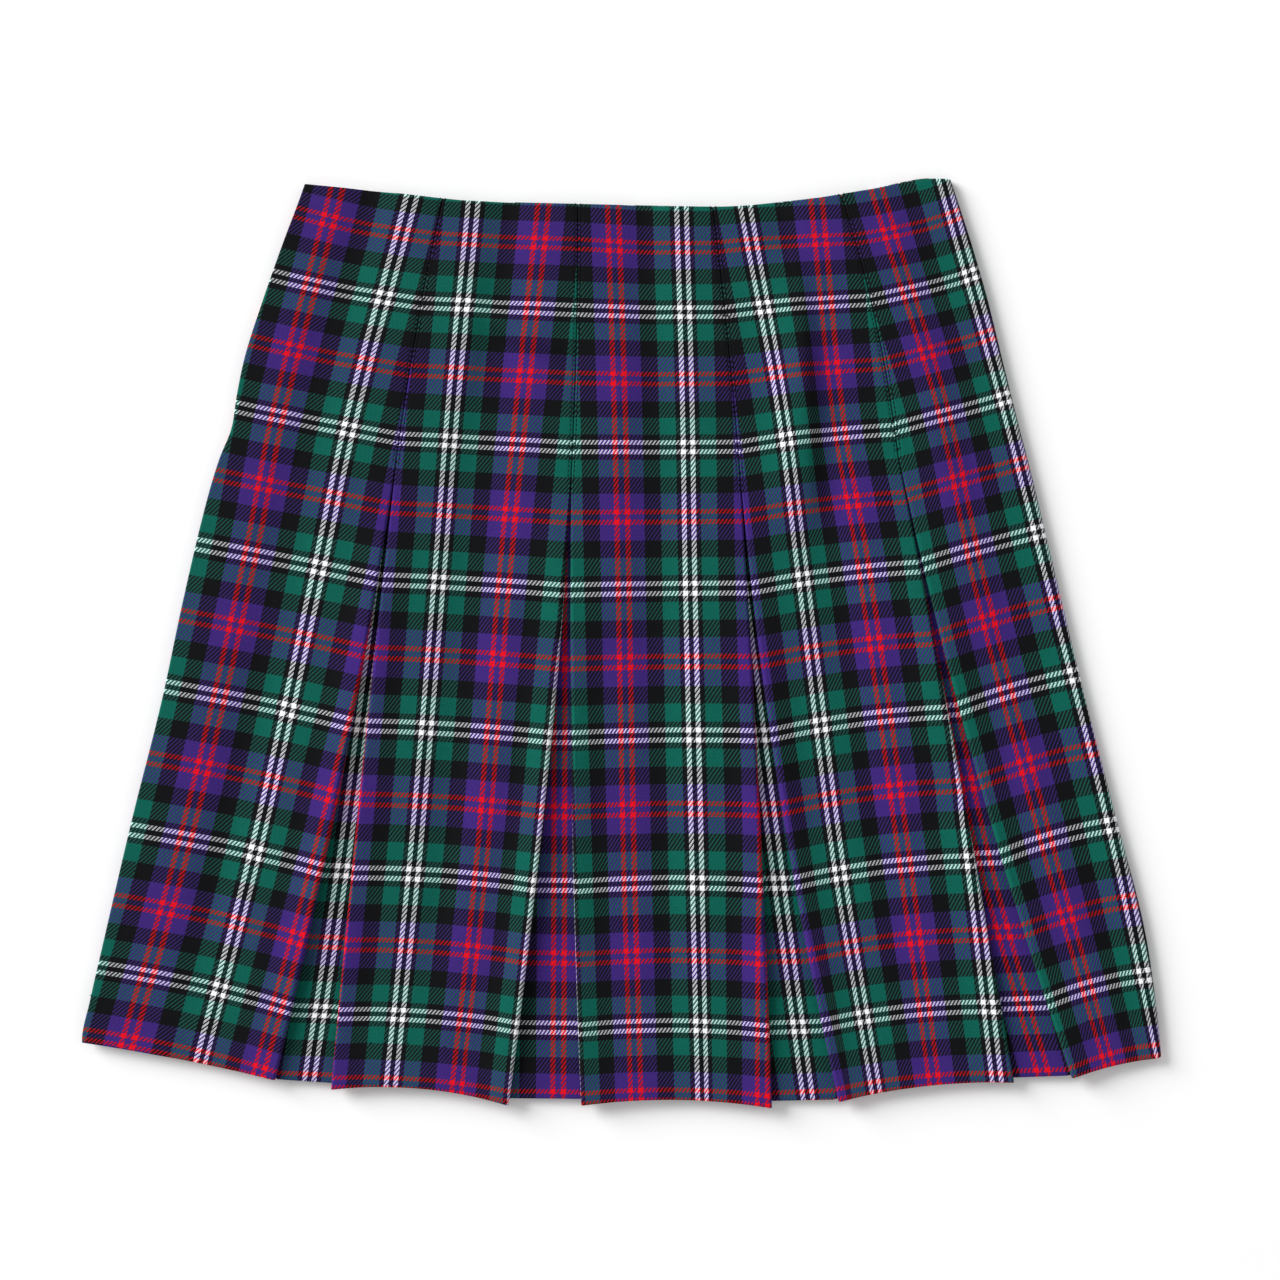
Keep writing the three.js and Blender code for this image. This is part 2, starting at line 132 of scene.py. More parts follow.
# Middle of the cloth: of the front where it sinks between its returns, and of the back's underside
SUNK = Layer.FRONT_UNDERLAY.height + SUNK_RISE
BACK_FLOOR = CLOTH_THICKNESS / 2 + FLOOR_GAP


def lerp(start: Array | float, end: Array | float, share: Array | float) -> Array | float:
    """Value part of the way from start to end."""
    return start + (end - start) * share


def smooth(share: Array | float) -> Array | float:
    """Smooth step from 0 to 1."""
    held = np.clip(share, 0.0, 1.0)
    return held * held * (3 - 2 * held)


def bowed(start: float, end: float, bow: float, share: Array) -> Array:
    """A run that bows off the straight line between its ends."""
    return lerp(start, end, share) + bow * 4 * share * (1 - share)


class Track:
    """A smooth line through the rows of a short table, which keeps between neighbouring rows."""

    def __init__(self, *rows: tuple[float, float]) -> None:
        """Fits the line.

        Args:
            rows: pairs of place and value, with the places rising.
        """
        self.places, self.values = np.array(rows, float).T
        slopes = np.diff(self.values) / np.diff(self.places)
        before, after = slopes[:-1], slopes[1:]
        same_way = before * after > 0
        total = np.where(same_way, before + after, 1.0)
        inner = np.where(same_way, 2 * before * after / total, 0.0)
        self.tangents = np.concatenate([slopes[:1], inner, slopes[-1:]])

    def __call__(self, at: Array | float) -> Array:
        """Reads the line.

        Args:
            at: places, held within the table.

        Returns:
            The values there.
        """
        place = np.clip(at, self.places[0], self.places[-1])
        k = np.clip(np.searchsorted(self.places, place, side="right") - 1, 0, len(self.places) - 2)
        run = self.places[k + 1] - self.places[k]
        t = (place - self.places[k]) / run
        rise = t * t * (3 - 2 * t)
        return (
            self.values[k] * (1 - rise)
            + self.values[k + 1] * rise
            + run * self.tangents[k] * t * (1 - t) ** 2
            - run * self.tangents[k + 1] * t * t * (1 - t)
        )


# Outline: half widths left and right of the centre, by how far down
LEFT_OUTLINE = Track(
    (1, -181.5), (13, -185.7), (36, -194.4), (70, -206.4), (105, -217.4), (128, -222.0), (142, -224.0),
    (162, -231.7), (185, -238.6), (243, -252.4), (300, -264.5), (369, -281.8), (438, -297.9), (473, -305.9),
    (496, -310.5), (506, -310.5),
)
RIGHT_OUTLINE = Track(
    (1, 189.2), (13, 193.2), (36, 200.7), (70, 210.5), (105, 219.1), (128, 224.8), (142, 228.3),
    (162, 233.5), (185, 239.2), (243, 253.0), (300, 266.8), (369, 284.6), (438, 301.9), (473, 307.1),
    (496, 309.6), (506, 310.5),
)
WAIST_EDGES = {Side.LEFT: -181.5, Side.RIGHT: 189.2}
HEM_EDGES = {Side.LEFT: -310.5, Side.RIGHT: 310.5}

# Waist line and the hem of the back: how far down, by place across
WAIST_LINE = Track(
    (-182, 4.0), (-130, 9.2), (-87, 13.6), (-18, 15.6), (56, 17.0), (102, 13.2), (143, 6.9), (180, 0.6),
    (190, 1.2),
)
BACK_WAIST_RISE = 0.6
BACK_HEM = Track(
    (-312, 494), (-243, 503), (-185, 514), (-128, 519), (-47, 525), (33, 526), (102, 523), (160, 518),
    (217, 514), (258, 509), (312, 503),
)
BACK_HEM_END = 503.0


@dataclass(frozen=True)
class Depth:
    """Depth of a fold at the waist and at the hem."""

    waist: float
    hem: float

    def at(self, down: Array) -> Array:
        """Depth at places so far down."""
        return lerp(self.waist, self.hem, np.clip(down / FULL_LENGTH, 0, 1))


RETURN = Depth(18, 38)
SIDE_RETURN = Depth(18, 30)
WRAP_RETURN = Depth(14, 30)
WRAP = Depth(26, 55)
WRAP_SLOPE = Depth(11, 20)
WRAP_FOLD_RADIUS = 2.6
UNDERLAY_INSET = 1.0
UNDERLAY_SHORT = 1.5
SIDE_LAYER_INSET = 1.5


@dataclass(frozen=True)
class Pleat:
    """One pleat: its seam from the waist to the bar tack, and its two fold edges from there to the hem."""

    seam: float
    seam_bow: float
    tack: float
    tack_down: float
    left_hem: float
    left_bow: float
    right_hem: float
    right_bow: float

    def edge(self, side: Side, hem_down: float) -> Line:
        """Fold edge on one side of the pleat.

        Args:
            side: the pleat's left or right fold.
            hem_down: how far down that fold's hem is.

        Returns:
            A function from how far down to x.
        """
        hem, bow = (self.left_hem, self.left_bow) if side is Side.LEFT else (self.right_hem, self.right_bow)
        top = float(WAIST_LINE(self.seam))
        offset = side.value * SEAM_GAP / 2

        def at(down: Array) -> Array:
            stitched = bowed(self.seam, self.tack, self.seam_bow, (down - top) / (self.tack_down - top))
            loose = bowed(self.tack, hem, bow, (down - self.tack_down) / (hem_down - self.tack_down))
            return np.where(down <= self.tack_down, stitched, loose) + offset

        return at


FRONT_PLEATS = (
    Pleat(-102.9, -1.7, -130.0, 165, -198.9, 4.7, -167.3, -1.2),
    Pleat(-25.3, 1.1, -29.3, 174, -65.0, 4.5, -23.6, -2.5),
    Pleat(52.3, 1.0, 67.9, 171, 86.3, 1.7, 124.2, -6.3),
    Pleat(125.9, 4.0, 158.7, 160, 225.4, 1.5, 258.2, -6.0),
)
BACK_PANEL_COUNT = 5
BACK_TACK_DOWN = 165.0
BACK_MOUTH = 10.0


def back_pleats() -> list[Pleat]:
    """Back pleats from right to left, spaced evenly across the back."""
    wrap_waist = WAIST_EDGES[Side.RIGHT] - WRAP.waist
    wrap_hem = HEM_EDGES[Side.RIGHT] - WRAP.hem
    waist_step = (wrap_waist - WAIST_EDGES[Side.LEFT]) / BACK_PANEL_COUNT
    hem_step = (wrap_hem - HEM_EDGES[Side.LEFT]) / BACK_PANEL_COUNT
    made = []
    for k in range(BACK_PANEL_COUNT):
        seam = wrap_waist - k * waist_step
        hem_left = wrap_hem - k * hem_step - BACK_MOUTH
        tack = lerp(seam, hem_left + BACK_MOUTH / 2, BACK_TACK_DOWN / FULL_LENGTH)
        made.append(Pleat(seam, 0, tack, BACK_TACK_DOWN, hem_left, 0, hem_left + BACK_MOUTH, 0))
    return made


def wrap_edge(down: Array) -> Array:
    """Edge of the side panel on the back."""
    return RIGHT_OUTLINE(down) - WRAP.at(down)


def facing_wrap_edge(down: Array) -> Array:
    """Edge of the first back panel, across the first back pleat from the side panel."""
    loose = np.clip((down - BACK_TACK_DOWN) / (BACK_HEM_END - BACK_TACK_DOWN), 0, 1)
    return wrap_edge(down) - lerp(SEAM_GAP, BACK_MOUTH, loose)


@dataclass(frozen=True)
class Hem:
    """How far down a piece hangs at its left corner, middle and right corner."""

    left: float
    middle: float
    right: float

    def at(self, share: Array) -> Array:
        """How far down the hem is, by share of the way across."""
        return (
            self.left * (1 - share) * (1 - 2 * share)
            + self.middle * 4 * share * (1 - share)
            + self.right * share * (2 * share - 1)
        )


PANEL_HEMS = (
    Hem(496.5, 506, 518), Hem(523.5, 523, 532.5), Hem(532.5, 529.5, FULL_LENGTH), Hem(530.5, 521.5, 519.5),
)
SIDE_PANEL_HEM = Hem(517, 509.5, 505.5)
UNDERLAY_HEMS = (Hem(515, 519, 522), Hem(529, 529, 530), Hem(531, 530, 529), Hem(518, 516.5, 514.5))

# Left side opening
ZIP_TOP_BELOW_WAIST = 3.0
ZIP_END = 139.0
ZIP_TAPE = 12.0
SIDE_UNDERLAY_TOP = 143.0


@dataclass(frozen=True)
class Crease:
    """A soft ridge or trough along a line on one piece. Shares run across it from its left edge."""

    piece: str
    top: tuple[float, float]
    bottom: tuple[float, float]
    rise: float
    left_spread: float
    right_spread: float

    def height(self, share: Array, down: Array, width: Array) -> Array:
        """Height of the crease above the plain surface.

        Args:
            share: places across the piece.
            down: how far down they are.
            width: width of the piece there.

        Returns:
            Heights, which fade out at the two ends of the line.
        """
        along = np.clip((down - self.top[1]) / (self.bottom[1] - self.top[1]), 0, 1)
        off = (share - lerp(self.top[0], self.bottom[0], along)) * width
        spread = np.where(off < 0, self.left_spread, self.right_spread)
        return self.rise * np.sin(math.pi * along) * np.exp(-((off / spread) ** 2))


CREASES = (
    Crease("front_panel_4", (0.536, 35), (0.387, 205), 8.0, 15, 8),
    Crease("front_panel_4", (0.55, 260), (0.50, 460), 1.2, 24, 20),
    Crease("front_panel_2", (0.30, 40), (0.36, 150), 1.8, 12, 9),
    Crease("front_panel_2", (0.24, 70), (0.86, 104), 4.6, 9, 14),
    Crease("front_panel_2", (0.70, 210), (0.62, 430), 1.0, 22, 22),
    Crease("front_panel_1", (0.55, 120), (0.42, 330), 0.9, 26, 20),
    Crease("front_panel_3", (0.35, 60), (0.42, 260), 0.8, 24, 18),
    Crease("side_panel_right", (0.45, 60), (0.40, 260), 0.9, 20, 14),
    Crease("back_panel_1", (0.40, 200), (0.55, 470), 0.9, 10, 16),
    Crease("back_panel_3", (0.60, 60), (0.45, 210), 0.8, 12, 9),
    Crease("back_panel_4", (0.35, 260), (0.50, 500), 0.9, 14, 10),
)


@dataclass(frozen=True)
class Lift:
    """How high a piece's corner at the hem stands off the layer below."""

    piece: str
    side: Side
    rise: float
    length: float = 90.0
    width: float = 40.0

    def height(self, from_edge: Array, down: Array) -> Array:
        """Height of the lift, by distance from the corner's edge and how far down."""
        near = 1 - smooth(from_edge / self.width)
        return self.rise * near * smooth((down - FULL_LENGTH + self.length) / self.length)


LIFTS = (
    Lift("front_panel_1", Side.RIGHT, 0.4),
    Lift("front_panel_2", Side.RIGHT, 0.4),
    Lift("front_panel_3", Side.LEFT, 0.5),
    Lift("front_panel_3", Side.RIGHT, 0.4),
    Lift("front_panel_4", Side.LEFT, 0.2),
    Lift("side_panel_right", Side.LEFT, 0.8),
)

# How much a loose fold springs open, by how far below its tack
FOLD_SPRING = Track((0, 0.0), (60, 1.3), (150, 2.4), (260, 2.5), (360, 1.2))
SPRING_REACH = 20.0
HEM_STANDS = 0.8


@dataclass(frozen=True)
class Spring:
    """How one loose fold springs open: from how far down, and by what share of the usual amount."""

    start: float = 2 * FULL_LENGTH
    share: float = 1.0

    def radius(self, level: Array) -> Array:
        """Radius of the fold at places so far down."""
        return PLAIN_FOLD + self.share * FOLD_SPRING(level - self.start) / 2


CLOSED = Spring()
LEFT_SPRINGS = (0.0, 1.0, 1.35, 1.3, 1.1)
RIGHT_SPRINGS = (1.5, 1.7, 1.2, 1.0, 0.0)

# Check: colours of half a repeat, from the middle of the red pair to the middle of the white pair,
# each up to a share of it
WARP_SETT = (
    ("purple", 0.042), ("red", 0.116), ("purple", 0.331), ("black", 0.580), ("green", 0.822),
    ("black", 0.891), ("white", 0.9610), ("black", 1.0),
)
WEFT_SETT = (
    ("purple", 0.038), ("red", 0.104), ("purple", 0.329), ("black", 0.570), ("green", 0.816),
    ("black", 0.896), ("white", 0.9640), ("black", 1.0),
)
WARP_HALF_REPEAT = 38.4
WARP_THREADS = 70
WEFT_THREADS = 52
WARP_COVER = 0.54
TWILL_STEPS = 4.0
WEFT_FLOAT = 2.0

# Weft lines at the centre front: how far down each is, by its number, even at a red pair and odd at a
# white pair
WEFT_NUMBERS = Track(
    (2.6, -1), (39.8, 0), (77.1, 1), (194.9, 4), (320.2, 7), (446.6, 10), (526.4, 12), (567, 13),
)
LAY_TOP, LAY_HEM = 40.0, 528.0

# Levels at which the warp lines are placed
WARP_LEVELS = (21.0, 139.0, 220.0, 386.0, 512.0)


@dataclass(frozen=True)
class WarpLine:
    number: float
    across: tuple[float, float, float, float, float]

    def at(self, down: Array) -> Array:
        """x of the line, carried straight on past the first and last level."""
        line = Track(*zip(WARP_LEVELS, self.across))
        over = down - np.clip(down, WARP_LEVELS[0], WARP_LEVELS[-1])
        slope = np.where(over < 0, line.tangents[0], line.tangents[-1])
        return line(down) + over * slope


@dataclass(frozen=True)
class WeftLay:
    """How far the weft stands below the centre front's: at the left, middle and right of a piece."""

    top: tuple[float, float, float]
    middle: tuple[float, float, float]
    hem: tuple[float, float, float]

    def at(self, share: Array, down: Array) -> Array:
        """Drop of the weft.

        Args:
            share: places across the piece.
            down: how far down they are.

        Returns:
            Millimetres that the weft is lower there than at the centre front.
        """
        across = [Hem(*row).at(share) for row in (self.top, self.middle, self.hem)]
        level = np.clip((down - LAY_TOP) / (LAY_HEM - LAY_TOP), -0.1, 1.1)
        return Hem(*across).at(level)


@dataclass(frozen=True)
class Grain:
    """How the check lies on one piece."""

    lines: tuple[WarpLine, ...]
    weft: WeftLay


def underlay_weft(left: WeftLay, right: WeftLay) -> WeftLay:
    """Weft that joins the edges of the two panels beside an underlay."""
    rows = [
        (before[2], (before[2] + after[0]) / 2, after[0])
        for before, after in zip((left.top, left.middle, left.hem), (right.top, right.middle, right.hem))
    ]
    return WeftLay(*rows)


PANEL_WEFT = (
    WeftLay((-20.8, -11.5, -5.2), (-27.8, -17.5, -5.8), (-35.7, -25.3, -10.4)),
    WeftLay((-5.2, -3.2, -1.7), (-5.2, -2.9, 1.3), (-6.6, -5.5, 1.2)),
    WeftLay((-1.7, 0.0, 0.3), (1.2, 0.0, 0.0), (2.6, 0.6, 4.0)),
    WeftLay((0.0, -3.2, -4.9), (-0.2, -8.8, -13.2), (0.0, -7.2, -8.1)),
    WeftLay((-4.9, -11.9, -22.0), (-15.0, -26.5, -35.1), (-11.2, -19.0, -22.5)),
)
PANEL_LINES = (
    {
        0: (-167.2, -197.9, -213.6, -251.5, -286.9),
        1: (-124.1, -156.3, -173.8, -210.9, -243.5),
        2: (-84.3, -117.1, -134.5, -175.8, -211.0),
    },
    {
        1: (-86.2, -97.9, -104.3, -118.6, -131.8),
        2: (-45.7, -58.6, -66.9, -80.0, -93.7),
        2.925: (-10.1, -22.9, -31.3, -49.5, -64.4),
    },
    {
        -0.925: (-40.6, -36.7, -34.6, -28.3, -24.3),
        0: (-5.1, -1.2, 0.6, 3.7, 7.4),
        1: (34.3, 37.7, 38.9, 42.8, 45.8),
        2: (72.7, 76.1, 77.3, 81.2, 80.5),
    },
    {
        0: (33.4, 54.8, 64.7, 86.9, 116.6),
        0.331: (46.1, 67.5, 77.4, 100.6, 127.6),
        0.58: (55.7, 77.1, 87.0, 108.8, 130.4),
        1: (71.8, 93.2, 103.1, 123.5, 144.4),
        2: (112.4, 124.0, 137.9, 161.4, 178.1),
        3: (151.3, 162.9, 176.8, 199.5, 214.1),
    },
    {
        -0.58: (128.8, 165.1, 181.2, 224.4, 262.4),
        0: (151.4, 186.1, 202.6, 245.2, 280.8),
        1: (189.3, 222.1, 243.2, 284.5, 309.8),
    },
)
PANEL_GRAIN = tuple(
    Grain(tuple(WarpLine(number, across) for number, across in lines.items()), weft)
    for lines, weft in zip(PANEL_LINES, PANEL_WEFT)
)
UNDERLAY_LINES = (
    WarpLine(1, (-110.0, -126.0, -137.0, -159.4, -179.0)),
    WarpLine(0, (-36.0, -36.0, -36.0, -36.1, -36.7)),
    WarpLine(1, (40.0, 57.0, 66.5, 87.7, 104.6)),
    WarpLine(0, (127.0, 154.0, 172.5, 207.0, 241.3)),
)
UNDERLAY_GRAIN = tuple(
    Grain((line,), underlay_weft(before, after))
    for line, before, after in zip(UNDERLAY_LINES, PANEL_WEFT, PANEL_WEFT[1:])
)
LEVEL_WEFT = WeftLay(*[(0.0, 0.0, 0.0)] * 3)


# Sewing: a row of topstitches at each side of each seam, in a shallow channel
STITCH_ROW = 1.35
STITCH_CHANNEL = 0.3
STITCH_CHANNEL_WIDTH = 0.5
PROUD = CLOTH_THICKNESS / 2 + 0.02
NEAR_FOLD = (0.0, 0.35, 0.85, 1.45, 2.2, 3.1, 3.9, 4.8, 6.2, 8.5, 12.0, 16.5)
ARC_STEPS = 9
RETURN_STEPS = 7
STITCH_COLUMN = RETURN_STEPS + ARC_STEPS
PANEL_ROWS = 131
BACK_ROWS = 67
ROW_CROWDING = 0.06
RETURN_SHARE = np.linspace(1, 0, RETURN_STEPS + 1)[:-1]
BACK_NEAR_FOLD = (0.0, 0.35, 1.2, 2.4, 4.0, 7.0)
UNDERLAY_NEAR_EDGE = (0.0, 3.0)
PANEL_COLUMNS, SIDE_COLUMNS, BACK_COLUMNS, UNDERLAY_COLUMNS, WRAP_COLUMNS = 44, 36, 24, 22, 14
STITCH_CHANNEL_END = 6.0
COIL_PROUD = 0.3
TACK_POINTS = 8
HEM_LINE_STEP = 3

# Form of the front between its folds
SINK = 22.0
SIDE_SINK = 20.0
HEM_REACH = 120.0
FRONT_RIPPLE = 0.35
UNDERLAY_RIPPLE = 0.12
RIPPLE_FADE = 12.0


def linked(name: str, data: bpy.types.ID) -> bpy.types.Object:
    """A new object, linked to the scene."""
    made = bpy.data.objects.new(name, data)
    bpy.context.scene.collection.objects.link(made)
    return made


@dataclass
class Surface:
    """The middle of a piece's cloth: a grid of points, with rows from its top to its hem."""

    points: Array
    share: Array
    down: Array
    cloth: Array = field(default_factory=lambda: np.zeros((0, 0, 2)))
    facing: int = 1

    @classmethod
    def laid(cls, x: Array, z: Array, share: Array, down: Array, facing: int = 1) -> Surface:
        """A surface from places across, heights, shares of the width and how far down."""
        return cls(np.stack([x, FULL_LENGTH / 2 - down, z], axis=2), share, down, facing=facing)

    def normals(self) -> Array:
        """Unit vectors towards the right side of the cloth, at each point."""
        down_way = np.gradient(self.points, axis=0)
        across_way = np.gradient(self.points, axis=1)
        made = np.cross(down_way, across_way) * self.facing
        return made / np.maximum(np.linalg.norm(made, axis=2, keepdims=True), 1e-9)

    def line(self, column: int, first: float, last: float, proud: float) -> Array:
        """Points along one column, a little off the right side of the cloth.

        Args:
            column: the column's number.
            first: how far down the line starts.
            last: how far down it ends.
            proud: how far it stands off the middle of the cloth.

        Returns:
            Its points, from the top down.
        """
        raised = self.points + self.normals() * proud
        down = self.down[:, column]
        kept = (down >= first) & (down <= last)
        return raised[kept, column]


@dataclass(frozen=True)
class Shell:
    """A closed thin shell round a surface, with a turned and rounded edge at its top and hem."""

    name: str
    surface: Surface
    turned_top: bool = True
    turned_hem: bool = True

    def thickness_inside(self) -> Array:
        """How far the wrong side lies from the middle of the cloth, more where an edge is turned."""
        down = self.surface.down
        extra = np.zeros_like(down)
        if self.turned_hem:
            from_hem = down[-1:] - down
            extra = np.maximum(extra, 1 - smooth((from_hem - HEM_ALLOWANCE) / 2 + 0.5))
        if self.turned_top:
            from_top = down - down[:1]
            extra = np.maximum(extra, 1 - smooth((from_top - WAIST_TURN) / 2 + 0.5))
        return CLOTH_THICKNESS / 2 + TURNED_EXTRA * extra

    def build(self) -> bpy.types.Object:
        """Makes the mesh, in metres, with the check's coordinates in the UV map "cloth"."""
        surface = self.surface
        normals = surface.normals()
        outer = surface.points + normals * CLOTH_THICKNESS / 2
        inner = surface.points - normals * self.thickness_inside()[..., None]
        rows, columns = surface.share.shape
        hem_rim = self.rim(outer[-1], inner[-1], surface.points[-1] - surface.points[-2])
        top_rim = self.rim(inner[0], outer[0], surface.points[0] - surface.points[1])
        loops = np.concatenate([outer, hem_rim, inner[::-1], top_rim])
        steps = len(hem_rim)
        cloth = np.concatenate([
            surface.cloth, np.repeat(surface.cloth[-1:], steps, axis=0),
            surface.cloth[::-1], np.repeat(surface.cloth[:1], steps, axis=0),
        ])
        length = len(loops)
        index = np.arange(length * columns).reshape(length, columns)
        after = np.roll(index, -1, axis=0)
        walls = np.stack([index[:, :-1], after[:, :-1], after[:, 1:], index[:, 1:]], axis=2).reshape(-1, 4)
        faces = walls.tolist()
        opposite = rows + steps + np.arange(rows)[::-1]
        for column, turn in ((0, 1), (columns - 1, -1)):
            edge = index[:, column]
            caps = [[edge[r], edge[opposite[r]], edge[opposite[r + 1]], edge[r + 1]] for r in range(rows - 1)]
            hem_cap = edge[rows - 1 : rows + steps + 1][::-1]
            top_cap = [*edge[2 * rows + steps - 1 :], edge[0]][::-1]
            faces += [[int(i) for i in face][::turn] for face in (*caps, hem_cap, top_cap)]
        return self.mesh_of(loops.reshape(-1, 3), faces, cloth.reshape(-1, 2), len(walls))

    @staticmethod
    def rim(start: Array, end: Array, outwards: Array) -> Array:
        """Half-round rows between the two sides of an edge.

        Args:
            start: points of the first side.
            end: points of the second side.
            outwards: direction past the edge, at each point.

        Returns:
            Three rows of points between them.
        """
        way = outwards / np.linalg.norm(outwards, axis=1, keepdims=True)
        centre = (start + end) / 2
        half = (start - end) / 2
        size = np.linalg.norm(half, axis=1, keepdims=True)
        angles = np.radians([45, 90, 135])
        return np.stack([centre + half * math.cos(a) + way * size * math.sin(a) for a in angles])

    def mesh_of(
        self, points: Array, faces: list[list[int]], cloth: Array, smooth_count: int,
    ) -> bpy.types.Object:
        """Turns the faces outwards and makes the object.

        Args:
            points: vertices, in millimetres.
            faces: vertex numbers of each face.
            cloth: the check's coordinates at each vertex.
            smooth_count: how many of the first faces are smooth.

        Returns:
            The new object.
        """
        quads = np.array(faces[:smooth_count])
        a, b, c, d = (points[quads[:, k]] for k in range(4))
        volume = np.einsum("ij,ij->", a, np.cross(b, c) + np.cross(c, d))
        if volume < 0:
            faces = [face[::-1] for face in faces]
        mesh = bpy.data.meshes.new(self.name)
        mesh.from_pydata((points * MM).tolist(), [], faces)
        smooth_faces = np.arange(len(faces)) < smooth_count
        mesh.polygons.foreach_set("use_smooth", smooth_faces)
        corners = np.empty(len(mesh.loops), int)
        mesh.loops.foreach_get("vertex_index", corners)
        uv = mesh.uv_layers.new(name="cloth")
        uv.data.foreach_set("uv", cloth[corners].astype(np.float32).ravel())
        mesh.update()
        return linked(self.name, mesh)


def rows_of(count: int) -> Array:
    """Rows from 0 at the top to 1 at the hem, closer together at both ends."""
    even = np.linspace(0, 1, count)
    return even - ROW_CROWDING * np.sin(2 * math.pi * even)


@dataclass(frozen=True)
class Rows:
    """Rows of points from a piece's top to its hem, and x of its two edges on each row."""

    t: Array
    left: Array
    right: Array

    @property
    def level(self) -> Array:
        """Roughly how far down each row is."""
        return self.t * FULL_LENGTH

    @property
    def width(self) -> Array:
        """Width of each row, as a column."""
        return (self.right - self.left)[:, None]


@dataclass(frozen=True)
class Bounds:
    """The two edges of a piece, its top line and its hem, seen from above."""

    left: Line
    right: Line
    top: Line
    hem: Line
    hem_left: float
    hem_right: float

    def rows(self, count: int) -> Rows:
        """So many rows between the piece's top and its hem."""
        t = rows_of(count)
        edges = [
            edge(lerp(float(self.top(float(edge(0.0)))), hem, t))
            for edge, hem in ((self.left, self.hem_left), (self.right, self.hem_right))
        ]
        return Rows(t, *edges)

    def hem_at(self, x: Array) -> Array:
        """How far down the hem is, by place across."""
        start, end = self.left(self.hem_left), self.right(self.hem_right)
        return self.hem(np.clip((x - start) / (end - start), 0, 1))


def ripple(x: Array, down: Array, seed: int, height: float) -> Array:
    """Faint uneven waves that no cloth is free of.

    Args:
        x: places across.
        down: how far down they are.
        seed: fixed number that sets the waves.
        height: rough height of the waves.

    Returns:
        Heights above the plain surface, both ways.
    """
    draw = np.random.default_rng(seed)
    total = np.zeros_like(x)
    for _ in range(6):
        angle, wave, phase = draw.uniform(0, math.pi), draw.uniform(45, 150), draw.uniform(0, 2 * math.pi)
        total += np.sin((x * math.cos(angle) + down * math.sin(angle)) * 2 * math.pi / wave + phase)
    return total * height / 3


def column_offsets(start: Array, end: Array, near: Sequence[float], count: int) -> Array:
    """x of columns between two edges: at listed distances from each edge, and evenly between.

    Args:
        start: x of the left edge on each row.
        end: x of the right edge on each row.
        near: distances from each edge.
        count: how many even columns lie between.

    Returns:
        A row of x for each row.
    """
    left = start[:, None] + np.array(near)
    right = end[:, None] - np.array(near)[::-1]
    inner = np.linspace(0, 1, count + 2)[1:-1]
    middle = left[:, -1:] + (right[:, :1] - left[:, -1:]) * inner
    return np.concatenate([left, middle, right], axis=1)


def fold_arc(
    centre_x: Array, centre_z: Array, radius: Array, start: float, end: float,
) -> Run:
    """Round a fold, by angles in degrees.

    Args:
        centre_x: middle of the fold on each row.
        centre_z: its height on each row.
        radius: radius of the middle of the cloth on each row.
        start: first angle.
        end: last angle.

    Returns:
        x and z of the points on each row.
    """
    angle = np.radians(np.linspace(start, end, ARC_STEPS))
    x = centre_x[:, None] + radius[:, None] * np.cos(angle)
    z = centre_z[:, None] + radius[:, None] * np.sin(angle)
    return x, z


def mirrored(run: Run) -> Run:
    """The same run of points in the other order."""
    return run[0][:, ::-1], run[1][:, ::-1]


@dataclass(frozen=True)
class Fold:
    """A folded edge and its return, on each row: `way` is 1 at a left edge and -1 at a right one."""

    edge: Array
    way: int
    radius: Array
    depth: Array

    @property
    def start(self) -> Array:
        """x at which flat cloth ends and the arc of the fold starts."""
        return self.edge + self.way * (self.radius + CLOTH_THICKNESS / 2)

    def laid(self, middle: Array, height: Line, first: float, last: float) -> Run:
        """Lays the return and then the arc, from the return's inner end.

        Args:
            middle: height of the fold's middle on each row.
            height: height of the return, by x.
            first: angle at which the arc meets the return.
            last: angle at which the arc ends.

        Returns:
            x and z of the points on each row.
        """
        run = self.way * (self.depth - self.radius - CLOTH_THICKNESS / 2)[:, None]
        flap = self.start[:, None] + run * RETURN_SHARE
        arc_x, arc_z = fold_arc(self.start, middle, self.radius, first, last)
        return np.concatenate([flap, arc_x], axis=1), np.concatenate([height(flap), arc_z], axis=1)

    def over_back(self) -> Run:
        """Lays a fold of the back, whose return lies over the cloth on the surface."""
        middle = np.full(len(self.edge), BACK_FLOOR + PLAIN_FOLD)
        top = BACK_FLOOR + 2 * PLAIN_FOLD
        return self.laid(middle, lambda x: np.full_like(x, top), 90, 90 + self.way * 180)


